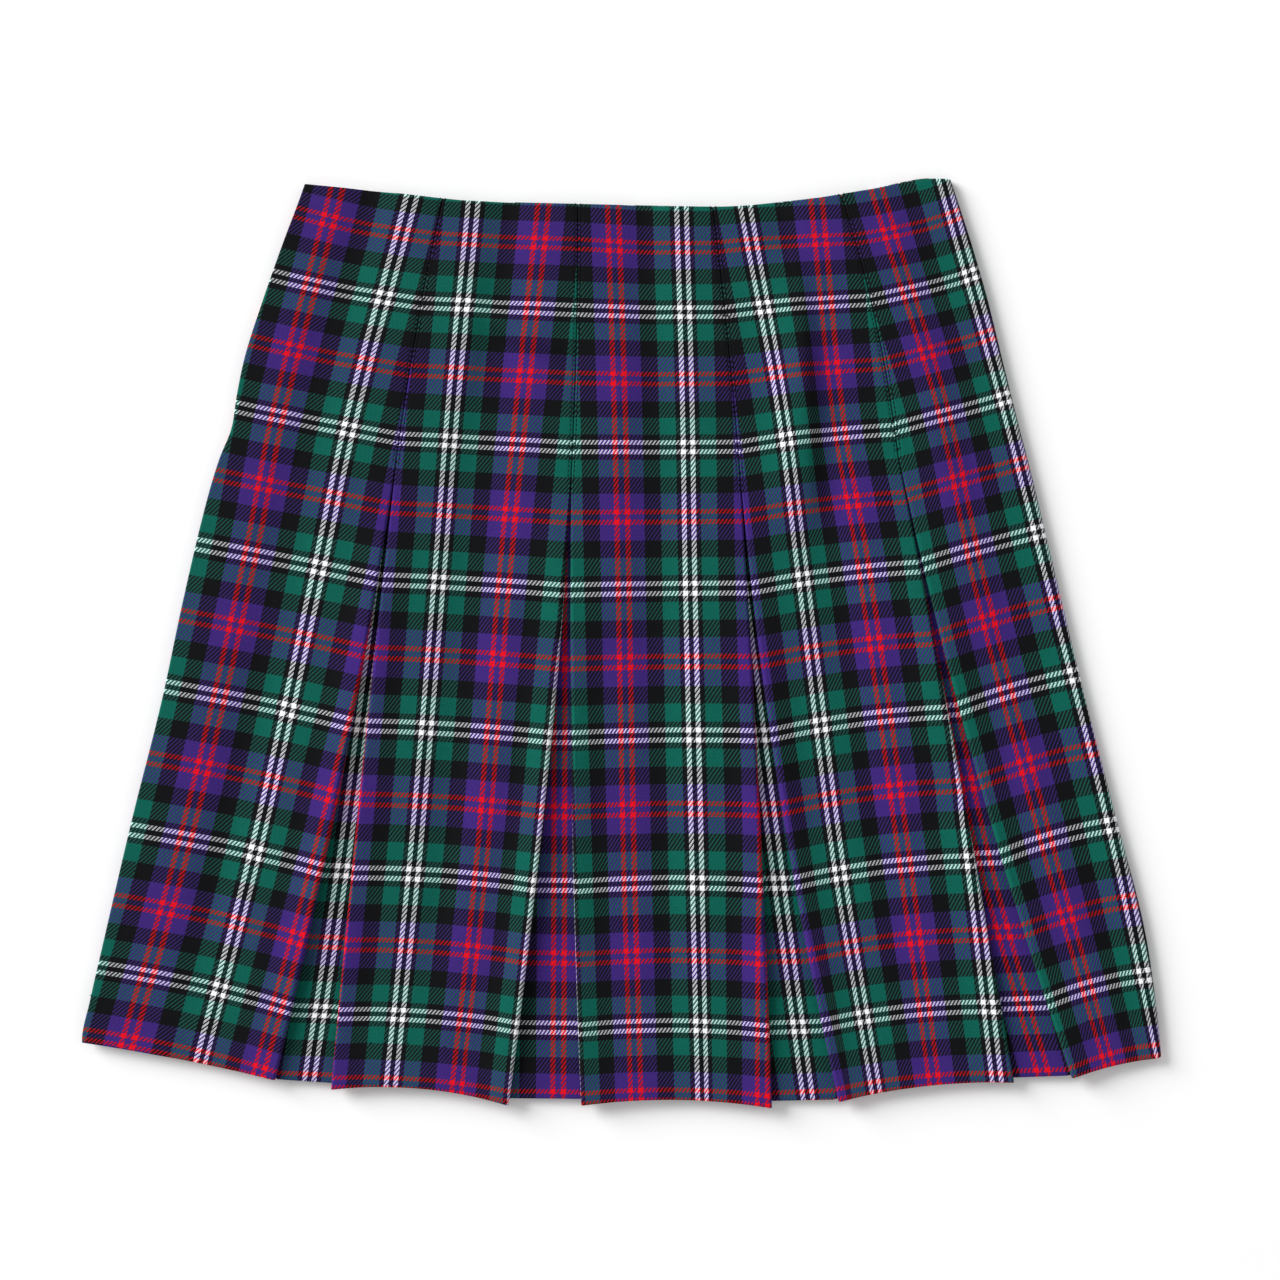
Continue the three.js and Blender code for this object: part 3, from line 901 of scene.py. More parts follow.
@dataclass
class ClothPiece:
    name: str
    bounds: Bounds
    grain: Grain
    seed: int

    def share_and_down(self, x: Array, rows: Rows) -> tuple[Array, Array]:
        """Share of the way across, and how far down, of points on each row.

        Args:
            x: places across on each row.
            rows: the piece's rows.

        Returns:
            Shares from 0 to 1, and distances down.
        """
        share = np.clip((x - rows.left[:, None]) / rows.width, 0, 1)
        top = self.bounds.top(lerp(rows.left[0], rows.right[0], share))
        return share, lerp(top, self.bounds.hem(share), rows.t[:, None])

    def joined(self, rows: Rows, *runs: Run) -> Surface:
        """Joins runs of x and z into one surface."""
        x, z = (np.concatenate(values, axis=1) for values in zip(*runs))
        return Surface.laid(x, z, *self.share_and_down(x, rows))

    def creased(self, x: Array, rows: Rows) -> Array:
        """Height of the piece's creases above its plain surface.

        Args:
            x: places across on each row.
            rows: the piece's rows.

        Returns:
            Heights above the plain surface.
        """
        share, down = self.share_and_down(x, rows)
        mine = [crease.height(share, down, rows.width) for crease in CREASES if crease.piece == self.name]
        return sum(mine, np.zeros_like(share))

    def lifted(self, x: Array, rows: Rows) -> Array:
        """Height of the piece's lifted corners, on its front and its returns alike.

        Args:
            x: places across on each row.
            rows: the piece's rows.

        Returns:
            Heights above the layer below.
        """
        total = np.zeros_like(x)
        for lift in LIFTS:
            if lift.piece == self.name:
                edge = rows.left if lift.side is Side.LEFT else rows.right
                total += lift.height(np.abs(x - edge[:, None]), rows.level[:, None])
        return total

    def lay_check(self, surface: Surface) -> None:
        """Gives each point its place in the check: half repeats across the warp and down the weft."""
        x, down = surface.points[..., 0], surface.down
        step = np.linalg.norm(np.diff(surface.points[..., [0, 2]], axis=1), axis=2)
        along = np.concatenate([np.zeros((len(step), 1)), np.cumsum(step, axis=1)], axis=1)
        top_side = self.top_side(surface)
        lines, edge_down = self.grain.lines, down[:, :1]
        placed = [(line.number, self.along_at(x, along, top_side, line.at(down))) for line in lines]
        slope = np.gradient(lines[0].at(edge_down), axis=0) / np.gradient(edge_down, axis=0)
        plain = WARP_HALF_REPEAT * np.sqrt(1 + slope**2)
        number, place = placed[0]
        across = number + (along - place) / plain
        for (number, place), (next_number, next_place) in zip(placed, placed[1:]):
            share = (along - place) / (next_place - place)
            across = np.where(along > place, lerp(number, next_number, share), across)
        number, place = placed[-1]
        across = np.where(along > place, number + (along - place) / plain, across)
        weft = WEFT_NUMBERS(down - self.grain.weft.at(surface.share, down))
        surface.cloth = np.stack([across, weft], axis=2)

    def top_side(self, surface: Surface) -> slice:
        """Columns on which the check's lines are placed."""
        return slice(0, surface.share.shape[1])

    @staticmethod
    def along_at(x: Array, along: Array, columns: slice, place: Array) -> Array:
        """Distance along each row's cloth at which a line of the check lies.

        Args:
            x: x of each point.
            along: distance along the cloth to each point.
            columns: the columns that are read, with rising x.
            place: x of the line, at each point.

        Returns:
            A column of distances, one for each row.
        """
        middle = (columns.start + columns.stop) // 2
        rows = [
            np.interp(place[r, middle], x[r, columns], along[r, columns])
            + min(place[r, middle] - x[r, columns][0], 0)
            + max(place[r, middle] - x[r, columns][-1], 0)
            for r in range(len(x))
        ]
        return np.array(rows)[:, None]


class Panel(ClothPiece):
    """A piece with a return folded at each side."""

    def top_side(self, surface: Surface) -> slice:
        """Columns between the two folds."""
        edge = RETURN_STEPS + ARC_STEPS // 2
        return slice(edge, surface.share.shape[1] - edge)


@dataclass
class FrontPanel(Panel):
    """A front panel with a return folded under at each side."""

    springs: tuple[Spring, Spring]

    def surface(self) -> Surface:
        """Lays the return, fold, top, fold and return of every row."""
        rows = self.bounds.rows(PANEL_ROWS)
        folds = [
            Fold(edge, way, spring.radius(rows.level), RETURN.at(rows.level))
            for edge, way, spring in zip((rows.left, rows.right), (1, -1), self.springs)
        ]
        x = column_offsets(folds[0].start, folds[1].start, NEAR_FOLD, PANEL_COLUMNS)
        z = self.top_height(x, rows, folds) + self.creased(x, rows) + self.lifted(x, rows)
        z += self.rippled(x, rows, x - x[:, :1], x[:, -1:] - x)
        left, right = (self.front_fold(fold, rows) for fold in folds)
        return self.joined(rows, left, (x[:, 1:-1], z[:, 1:-1]), mirrored(right))

    def front_fold(self, fold: Fold, rows: Rows) -> Run:
        """Lays a return under the front and its fold, both raised where a corner is lifted."""
        under = Layer.FRONT_RETURN.height
        middle = under + fold.radius + self.lifted(fold.edge[:, None], rows)[:, 0]
        return fold.laid(middle, lambda x: under + self.lifted(x, rows), 90 + fold.way * 180, 90)

    def rippled(self, x: Array, rows: Rows, from_left: Array, from_right: Array) -> Array:
        """Faint waves of the front, which fade out at both edges.

        Args:
            x: places across on each row.
            rows: the panel's rows.
            from_left: distances from the left fold.
            from_right: distances from the right fold.

        Returns:
            Heights above the plain surface, both ways.
        """
        fade = smooth(from_left / RIPPLE_FADE) * smooth(from_right / RIPPLE_FADE)
        return ripple(x, self.share_and_down(x, rows)[1], self.seed, FRONT_RIPPLE) * fade

    def top_height(self, x: Array, rows: Rows, folds: list[Fold]) -> Array:
        """Height of the plain top: high at sprung folds, level over the returns and sunk between them.

        Args:
            x: places across on each row.
            rows: the panel's rows.
            folds: its left and right folds.

        Returns:
            Heights of the middle of the cloth.
        """
        from_edges = [fold.way * (x - fold.edge[:, None]) for fold in folds]
        sunk = (1 - HEM_STANDS * smooth((rows.level - FULL_LENGTH + HEM_REACH) / HEM_REACH))[:, None]
        for from_edge, fold in zip(from_edges, folds):
            sunk = sunk * smooth((from_edge - fold.depth[:, None] - UNDERLAY_INSET) / SINK)
        plain = lerp(Layer.FRONT_PANEL.height, SUNK, sunk)
        for from_edge, fold, spring in zip(from_edges, folds, self.springs):
            plain += self.sprung(from_edge, rows, fold, spring)
        return plain

    @staticmethod
    def sprung(from_edge: Array, rows: Rows, fold: Fold, spring: Spring) -> Array:
        """Rise beside a fold that springs open, less the channel of the topstitches above it.

        Args:
            from_edge: distances from the fold.
            rows: the panel's rows.
            fold: the fold.
            spring: how it springs open, from where its stitches end.

        Returns:
            Heights above the level top.
        """
        open_rise = 2 * (fold.radius - PLAIN_FOLD)[:, None] * (1 - smooth(from_edge / SPRING_REACH))
        if spring is CLOSED:
            return open_rise
        sewn = np.exp(-(((from_edge - STITCH_ROW) / STITCH_CHANNEL_WIDTH) ** 2))
        above = (1 - smooth((rows.level - spring.start) / STITCH_CHANNEL_END))[:, None]
        return open_rise - STITCH_CHANNEL * sewn * above


@dataclass
class SidePanel(FrontPanel):
    """The panel at the right, which goes round the right fold on to the back."""

    turn_column: int = 0

    def surface(self) -> Surface:
        """Lays the front return, fold, front, side fold, back, fold and back return of every row."""
        rows = self.bounds.rows(PANEL_ROWS)
        fold = Fold(rows.left, 1, self.springs[0].radius(rows.level), SIDE_RETURN.at(rows.level))
        turn_x = rows.right - WRAP_FOLD_RADIUS - CLOTH_THICKNESS / 2
        front_x = column_offsets(fold.start, turn_x, NEAR_FOLD, SIDE_COLUMNS)
        front_z = self.front_height(front_x, rows, fold, turn_x[:, None] - front_x)
        even = np.ones(len(rows.t))
        radius = even * WRAP_FOLD_RADIUS
        back_edge = wrap_edge(rows.level * BACK_HEM_END / FULL_LENGTH)
        back_fold = Fold(back_edge, 1, even * PLAIN_FOLD, WRAP_RETURN.at(rows.level))
        back_x = lerp(turn_x[:, None], back_fold.start[:, None], np.linspace(0, 1, WRAP_COLUMNS)[1:-1])
        back_run = mirrored(back_fold.over_back())
        made = self.joined(
            rows, self.front_fold(fold, rows), (front_x[:, 1:-1], front_z[:, 1:-1]),
            fold_arc(turn_x, BACK_FLOOR + radius, radius, 90, -90),
            (back_x, np.full_like(back_x, BACK_FLOOR)), back_run,
        )
        x = made.points[..., 0]
        turn = x.shape[1] - back_run[0].shape[1] - back_x.shape[1]
        back_down = lerp(WAIST_LINE(x[:1]) - BACK_WAIST_RISE, BACK_HEM(x[-1:]), rows.t[:, None])
        going_back = smooth((np.arange(x.shape[1]) - turn + ARC_STEPS) / ARC_STEPS)[None, :]
        self.turn_column = turn - ARC_STEPS // 2
        down = lerp(made.down, back_down, going_back)
        return Surface.laid(x, made.points[..., 2], made.share, down)

    def front_height(self, x: Array, rows: Rows, fold: Fold, from_turn: Array) -> Array:
        """Height of the front: sunk beyond its return, and sloping down to the side fold.

        Args:
            x: places across on each row.
            rows: the panel's rows.
            fold: its left fold.
            from_turn: distances from the side fold.

        Returns:
            Heights of the middle of the cloth.
        """
        from_left = x - fold.edge[:, None]
        sunk = smooth((from_left - fold.depth[:, None]) / SIDE_SINK)
        plain = lerp(Layer.FRONT_PANEL.height, SUNK, sunk)
        plain += self.sprung(from_left, rows, fold, self.springs[0])
        plain += self.creased(x, rows) + self.lifted(x, rows)
        plain += self.rippled(x, rows, from_left, from_turn)
        slope = smooth(from_turn / WRAP_SLOPE.at(rows.level)[:, None])
        return lerp(BACK_FLOOR + 2 * WRAP_FOLD_RADIUS, plain, slope)

    def top_side(self, surface: Surface) -> slice:
        """Columns on the front, from the left fold to the side fold."""
        return slice(RETURN_STEPS + ARC_STEPS // 2, self.turn_column)


class BackPanel(Panel):
    """A back panel, flat on the surface, with a return folded over at each side."""

    def surface(self) -> Surface:
        """Lays the return, fold, underside, fold and return of every row."""
        rows = self.bounds.rows(BACK_ROWS)
        radius = np.full(len(rows.t), PLAIN_FOLD)
        folds = [
            Fold(edge, way, radius, RETURN.at(rows.level))
            for edge, way in ((rows.left, 1), (rows.right, -1))
        ]
        x = column_offsets(folds[0].start, folds[1].start, BACK_NEAR_FOLD, BACK_COLUMNS)[:, 1:-1]
        left, right = (fold.over_back() for fold in folds)
        return self.joined(rows, left, (x, BACK_FLOOR + self.creased(x, rows)), mirrored(right))


@dataclass
class Underlay(ClothPiece):
    """The cloth behind a pleat."""

    height: float

    def surface(self) -> Surface:
        """Lays the rows of the underlay."""
        rows = self.bounds.rows(PANEL_ROWS if self.height > Layer.BACK_UNDERLAY.height else BACK_ROWS)
        x = column_offsets(rows.left, rows.right, UNDERLAY_NEAR_EDGE, UNDERLAY_COLUMNS)
        share, down = self.share_and_down(x, rows)
        return Surface.laid(x, self.height + ripple(x, down, self.seed, UNDERLAY_RIPPLE), share, down)


@dataclass
class FoldedStrip(ClothPiece):
    """A strip folded round the left side: upper layer, fold and lower layer. `reach` is how far in."""

    reach: Line

    def surface(self) -> Surface:
        """Lays the upper layer, fold and lower layer of every row."""
        t = rows_of(BACK_ROWS)
        edge_down = lerp(float(self.bounds.top(0.0)), self.bounds.hem_left, t)
        edge = self.bounds.left(edge_down)
        start = edge + SIDE_LAYER_INSET + PLAIN_FOLD + CLOTH_THICKNESS / 2
        end = edge + self.reach(edge_down)
        upper, lower = Layer.FRONT_UNDERLAY.height, Layer.BACK_UNDERLAY.height
        radius = np.full(len(t), PLAIN_FOLD)
        arc_x, arc_z = fold_arc(start, np.full(len(t), (upper + lower) / 2), radius, 90, 270)
        flat = start[:, None] + (end - start)[:, None] * RETURN_SHARE
        x = np.concatenate([flat, arc_x, flat[:, ::-1]], axis=1)
        z = np.concatenate([np.full_like(flat, upper), arc_z, np.full_like(flat, lower)], axis=1)
        share = np.clip((x - edge[:, None]) / (end - edge)[:, None], 0, 1)
        down = lerp(self.bounds.top(x[:1]), self.bounds.hem(x[-1:]), t[:, None])
        return Surface.laid(x, z, share, down, facing=-1)

    def top_side(self, surface: Surface) -> slice:
        """Columns of the lower layer, where x rises."""
        return slice(RETURN_STEPS + ARC_STEPS // 2, surface.share.shape[1])


def linear(colour: Colour) -> tuple[float, float, float, float]:
    """A colour of 0 to 255, as seen on screen, in the shader's own scale."""
    scaled = [c / 255 for c in colour]
    made = [c / 12.92 if c <= 0.04045 else ((c + 0.055) / 1.055) ** 2.4 for c in scaled]
    return (*made, 1.0)


class Graph:
    """A material's nodes, with short ways to add and join them."""

    def __init__(self, name: str) -> None:
        """Starts an empty material.

        Args:
            name: the material's name.
        """
        self.material = bpy.data.materials.new(name)
        self.material.use_nodes = True
        self.nodes = self.material.node_tree.nodes
        self.links = self.material.node_tree.links
        self.nodes.clear()

    def add(self, kind: str, **settings: object) -> bpy.types.Node:
        """Adds a node and sets its properties."""
        node = self.nodes.new(kind)
        for key, value in settings.items():
            setattr(node, key, value)
        return node

    def join(self, source: object, socket: Socket) -> None:
        """Links an output to a socket, or sets the socket to a plain value."""
        if isinstance(source, bpy.types.NodeSocket):
            self.links.new(source, socket)
        else:
            socket.default_value = source

    def math(self, operation: str, *values: object) -> Socket:
        """A Math node's result."""
        node = self.add("ShaderNodeMath", operation=operation)
        for value, socket in zip(values, node.inputs):
            self.join(value, socket)
        return node.outputs[0]

    def mix(self, share: object, first: object, second: object) -> Socket:
        """A colour between two others."""
        node = self.add("ShaderNodeMix", data_type="RGBA")
        self.join(share, node.inputs["Factor"])
        self.join(first, node.inputs[6])
        self.join(second, node.inputs[7])
        return node.outputs[2]

    def blend(self, share: object, first: object, second: object) -> Socket:
        """A number between two others."""
        node = self.add("ShaderNodeMix", data_type="FLOAT")
        self.join(share, node.inputs["Factor"])
        self.join(first, node.inputs[2])
        self.join(second, node.inputs[3])
        return node.outputs[0]

    def noise(self, vector: object, scale: float, detail: float) -> Socket:
        """A noise texture's value."""
        node = self.add("ShaderNodeTexNoise")
        self.join(vector, node.inputs["Vector"])
        self.join(scale, node.inputs["Scale"])
        self.join(detail, node.inputs["Detail"])
        return node.outputs["Fac"]

    def object_place(self) -> Socket:
        """Object coordinates."""
        return self.add("ShaderNodeTexCoord").outputs["Object"]

    def shades(self, share: Socket, colour: Colour, lighter: float) -> Socket:
        """A colour between one given on a scale of 0 to 255 and the same made lighter."""
        return self.mix(share, linear(colour), linear(tuple(c * lighter for c in colour)))

    def surface(self, colour: object, bump: object, depth: float, **values: float) -> bpy.types.Material:
        """Ends the material in one Principled shader.

        Args:
            colour: base colour.
            bump: height that the bump follows.
            depth: the bump's depth, in metres.
            values: other inputs of the shader, by name with _ for a space.

        Returns:
            The finished material.
        """
        shader = self.add("ShaderNodeBsdfPrincipled")
        self.join(colour, shader.inputs["Base Color"])
        for name, value in values.items():
            shader.inputs[name.replace("_", " ")].default_value = value
        relief = self.add("ShaderNodeBump")
        relief.inputs["Distance"].default_value = depth
        relief.inputs["Strength"].default_value = 1.0
        self.join(bump, relief.inputs["Height"])
        self.links.new(relief.outputs["Normal"], shader.inputs["Normal"])
        output = self.add("ShaderNodeOutputMaterial")
        self.links.new(shader.outputs["BSDF"], output.inputs["Surface"])
        return self.material


@dataclass(frozen=True)
class CheckTwill:
    """Two-and-two twill in the check's colours, woven from dyed yarn."""

    purple: Colour = (62, 40, 116)
    green: Colour = (29, 93, 80)
    black: Colour = (17, 18, 20)
    red: Colour = (228, 18, 36)
    white: Colour = (250, 252, 255)
    # Painted shade of the threads' relief: how much darker the colour is at their lowest parts
    thread_shade: float = 0.34
    middle_height: float = 0.45
    fibre_scale: float = 1100.0
    fibre_shade: float = 0.6
    patch_scale: float = 70.0
    patch_shade: float = 0.16
    bump_depth: float = 0.00012
    vivid_from: float = 45 / 255
    vivid_share: float = 0.95

    def ramp(self, graph: Graph, place: Socket, sett: tuple[tuple[str, float], ...]) -> Socket:
        """Colour of a thread as seen on screen, by its place in half a repeat.

        Args:
            graph: the material's nodes.
            place: place in half a repeat.
            sett: colours, each up to a share of half a repeat.

        Returns:
            The colour, not yet in the shader's own scale.
        """
        node = graph.add("ShaderNodeValToRGB")
        stops = node.color_ramp
        stops.interpolation = "CONSTANT"
        stops.elements.remove(stops.elements[1])
        starts = [0.0, *(end for _, end in sett[:-1])]
        for k, (start, (colour, _)) in enumerate(zip(starts, sett)):
            stop = stops.elements[0] if k == 0 else stops.elements.new(start)
            stop.position = start
            stop.color = (*(c / 255 for c in getattr(self, colour)), 1.0)
        graph.join(place, node.inputs["Fac"])
        return node.outputs["Color"]

    def build(self) -> bpy.types.Material:
        """Makes the material from the UV map "cloth", in half repeats."""
        graph = Graph("check_twill")
        uv = graph.add("ShaderNodeUVMap", uv_map="cloth")
        split = graph.add("ShaderNodeSeparateXYZ")
        graph.join(uv.outputs["UV"], split.inputs[0])
        yarns = []
        for axis, sett, threads in (("X", WARP_SETT, WARP_THREADS), ("Y", WEFT_SETT, WEFT_THREADS)):
            colour = self.ramp(graph, graph.math("PINGPONG", split.outputs[axis], 1.0), sett)
            place = graph.math("MULTIPLY", split.outputs[axis], threads)
            number = graph.math("FLOOR", place)
            yarns.append((colour, number, graph.math("SUBTRACT", place, number)))
        (warp_colour, warp_number, warp_in), (weft_colour, weft_number, weft_in) = yarns
        numbers = graph.math("ADD", graph.math("ADD", warp_number, weft_number), 0.5)
        step = graph.math("SUBTRACT", graph.math("FLOORED_MODULO", numbers, TWILL_STEPS), 0.5)
        along_weft = graph.math("ADD", step, warp_in)
        from_middle = graph.math("ABSOLUTE", graph.math("SUBTRACT", along_weft, WEFT_FLOAT + 1))
        weft_up = graph.math("LESS_THAN", from_middle, 2 * (1 - WARP_COVER))
        heights = [
            graph.math("MULTIPLY", self.bulge(graph, inside), self.float_arch(graph, step, crossed, start))
            for inside, crossed, start in ((warp_in, weft_in, 0.0), (weft_in, warp_in, WEFT_FLOAT))
        ]
        height = graph.blend(weft_up, *heights)
        colour = self.yarn(graph, weft_up, warp_colour, weft_colour)
        place = graph.object_place()
        # Painted shade: the colour is darker where the threads' relief is low, at their edges and between
        # floats. The two noises after it vary the tone at random.
        darkest = 1 - self.thread_shade * self.middle_height
        total = graph.math("MULTIPLY_ADD", height, self.thread_shade, darkest)
        for noise, shade in ((self.fibre_scale, self.fibre_shade), (self.patch_scale, self.patch_shade)):
            uneven = graph.math("SUBTRACT", graph.noise(place, noise, 3.0), 0.5)
            total = graph.math("MULTIPLY", total, graph.math("MULTIPLY_ADD", uneven, shade, 1.0))
        scale = graph.add("ShaderNodeVectorMath", operation="SCALE")
        graph.join(colour, scale.inputs[0])
        graph.join(total, scale.inputs["Scale"])
        return graph.surface(
            scale.outputs[0], height, self.bump_depth, Roughness=0.85, Specular_IOR_Level=0.12,
            Sheen_Weight=0.03, Sheen_Roughness=0.4,
        )

    def yarn(self, graph: Graph, weft_up: Socket, warp: Socket, weft: Socket) -> Socket:
        """Colour of the upper thread, which looks dimmer beside threads of another colour.

        Args:
            graph: the material's nodes.
            weft_up: 1 where the weft is on top.
            warp: colour of the warp as seen on screen.
            weft: colour of the weft as seen on screen.

        Returns:
            The colour in the shader's own scale.
        """
        def bright(colour: Socket) -> Socket:
            node = graph.add("ShaderNodeGamma")
            graph.join(colour, node.inputs["Color"])
            node.inputs["Gamma"].default_value = 2.2
            return node.outputs["Color"]

        seen = bright(self.vivid(graph, graph.mix(1 - WARP_COVER, warp, weft)))
        warp, weft = bright(warp), bright(weft)
        dimmed = graph.add("ShaderNodeVectorMath", operation="DIVIDE")
        graph.join(seen, dimmed.inputs[0])
        graph.join(graph.mix(1 - WARP_COVER, warp, weft), dimmed.inputs[1])
        made = graph.add("ShaderNodeVectorMath", operation="MULTIPLY")
        graph.join(graph.mix(weft_up, warp, weft), made.inputs[0])
        graph.join(dimmed.outputs[0], made.inputs[1])
        return made.outputs[0]

    def vivid(self, graph: Graph, colour: Socket) -> Socket:
        """Takes red out of plain green, which is cleaner than its mixtures."""
        parts, made = graph.add("ShaderNodeSeparateColor"), graph.add("ShaderNodeCombineColor")
        graph.join(colour, parts.inputs[0])
        red, green, blue = parts.outputs[:3]
        excess = graph.math("SUBTRACT", graph.math("SUBTRACT", green, red), self.vivid_from)
        plainer = graph.math("MULTIPLY_ADD", graph.math("MAXIMUM", excess, 0.0), -self.vivid_share, red)
        for source, socket in zip((plainer, green, blue), made.inputs):
            graph.join(source, socket)
        return made.outputs[0]

    @staticmethod
    def bulge(graph: Graph, place: Socket) -> Socket:
        """Round section of a thread, 1 in its middle and 0 at its edges."""
        off = graph.math("MULTIPLY_ADD", place, 2.0, -1.0)
        return graph.math("SUBTRACT", 1.0, graph.math("MULTIPLY", off, off))

    @staticmethod
    def float_arch(graph: Graph, step: Socket, place: Socket, start: float) -> Socket:
        """Arch of a thread over the two that it crosses.

        Args:
            graph: the material's nodes.
            step: place in the twill's four steps.
            place: place within the thread that is crossed.
            start: the step at which the float starts.

        Returns:
            Height along the float.
        """
        steps = graph.math("ADD", graph.math("SUBTRACT", step, start), place)
        along = graph.math("MULTIPLY", steps, math.pi / 2)
        return graph.math("MULTIPLY_ADD", graph.math("SINE", along), 0.5, 0.5)


class Bands(Enum):
    """The way in which fine ribs run."""

    TWIST = "DIAGONAL"
    ALONG = "Y"


@dataclass(frozen=True)
class FineRibs:
    """Dark yarn or tape with fine even ribs, between its colour and a lighter one: the lighter crests and
    darker grooves are painted highlight and shade.
    """

    name: str
    colour: Colour
    lighter: float
    ribs: Bands
    per_metre: float
    depth: float
    roughness: float
    specular: float = 0.5

    def build(self) -> bpy.types.Material:
        """Makes the material on Object coordinates."""
        graph = Graph(self.name)
        wave = graph.add("ShaderNodeTexWave", wave_type="BANDS", bands_direction=self.ribs.value)
        graph.join(graph.object_place(), wave.inputs["Vector"])
        wave.inputs["Scale"].default_value = self.per_metre
        share = wave.outputs["Fac"]
        # Painted highlight and shade: the ribs' height also sets the colour, lighter on the crests and darker
        # in the grooves
        return graph.surface(
            graph.shades(share, self.colour, self.lighter), share, self.depth, Roughness=self.roughness,
            Specular_IOR_Level=self.specular,
        )


SEWING_THREAD = FineRibs("sewing_thread", (5, 5, 8), 1.6, Bands.TWIST, 1500.0, 0.00004, 0.8, 0.12)
ZIP_TAPE_CLOTH = FineRibs("zip_tape", (24, 26, 40), 1.5, Bands.ALONG, 900.0, 0.00006, 0.7)


@dataclass(frozen=True)
class CoilNylon:
    """Smooth dark nylon of the zip's coil."""

    colour: Colour = (18, 20, 32)
    lighter: float = 1.4
    depth: float = 0.00002

    def build(self) -> bpy.types.Material:
        """Makes the material on Object coordinates."""
        graph = Graph("coil_nylon")
        haze = graph.noise(graph.object_place(), 900.0, 2.0)
        return graph.surface(graph.shades(haze, self.colour, self.lighter), haze, self.depth, Roughness=0.35)


# Geometry Nodes of a run of stitches: each node with its settings, and the links between them
STITCH_NODES = {
    "given": ("NodeGroupInput", {}),
    "curve": ("GeometryNodeMeshToCurve", {}),
    "spaced": ("GeometryNodeResampleCurve", {"mode": "LENGTH"}),
    "grain": ("GeometryNodeMeshUVSphere", {}),
    "size": ("ShaderNodeCombineXYZ", {}),
    "bead": ("GeometryNodeTransform", {}),
    "tangent": ("GeometryNodeInputTangent", {}),
    "turn": ("FunctionNodeAlignRotationToVector", {"axis": "X", "pivot_axis": "Z"}),
    "spread": ("ShaderNodeMath", {"operation": "MULTIPLY"}),
    "chance": ("FunctionNodeRandomValue", {}),
    "lean": ("ShaderNodeMath", {"operation": "ADD"}),
    "angles": ("ShaderNodeCombineXYZ", {}),
    "slanted": ("FunctionNodeRotateRotation", {"rotation_space": "LOCAL"}),
    "placed": ("GeometryNodeInstanceOnPoints", {}),
    "real": ("GeometryNodeRealizeInstances", {}),
    "dressed": ("GeometryNodeSetMaterial", {}),
    "result": ("NodeGroupOutput", {}),
}
STITCH_VALUES = (
    ("grain", "Segments", 6), ("grain", "Rings", 5), ("grain", "Radius", 0.5), ("spread", 1, -1.0),
)
STITCH_LINKS = (
    ("given", "Geometry", "curve", "Mesh"),
    ("curve", "Curve", "spaced", "Curve"),
    ("given", "Pitch", "spaced", "Length"),
    ("given", "Length", "size", "X"),
    ("given", "Width", "size", "Y"),
    ("given", "Width", "size", "Z"),
    ("grain", "Mesh", "bead", "Geometry"),
    ("size", "Vector", "bead", "Scale"),
    ("tangent", "Tangent", "turn", "Vector"),
    ("given", "Slip", "spread", 0),
    ("spread", "Value", "chance", "Min"),
    ("given", "Slip", "chance", "Max"),
    ("given", "Seed", "chance", "Seed"),
    ("chance", "Value", "lean", 0),
    ("given", "Slant", "lean", 1),
    ("lean", "Value", "angles", "Z"),
    ("turn", "Rotation", "slanted", "Rotation"),
    ("angles", "Vector", "slanted", "Rotate By"),
    ("spaced", "Curve", "placed", "Points"),
    ("bead", "Geometry", "placed", "Instance"),
    ("slanted", "Rotation", "placed", "Rotation"),
    ("placed", "Instances", "real", "Geometry"),
    ("real", "Geometry", "dressed", "Geometry"),
    ("given", "Material", "dressed", "Material"),
    ("dressed", "Geometry", "result", "Geometry"),
)
STITCH_INPUTS = {
    "Geometry": "Geometry", "Pitch": "Float", "Length": "Float", "Width": "Float", "Slant": "Float",
    "Slip": "Float", "Seed": "Int", "Material": "Material",
}


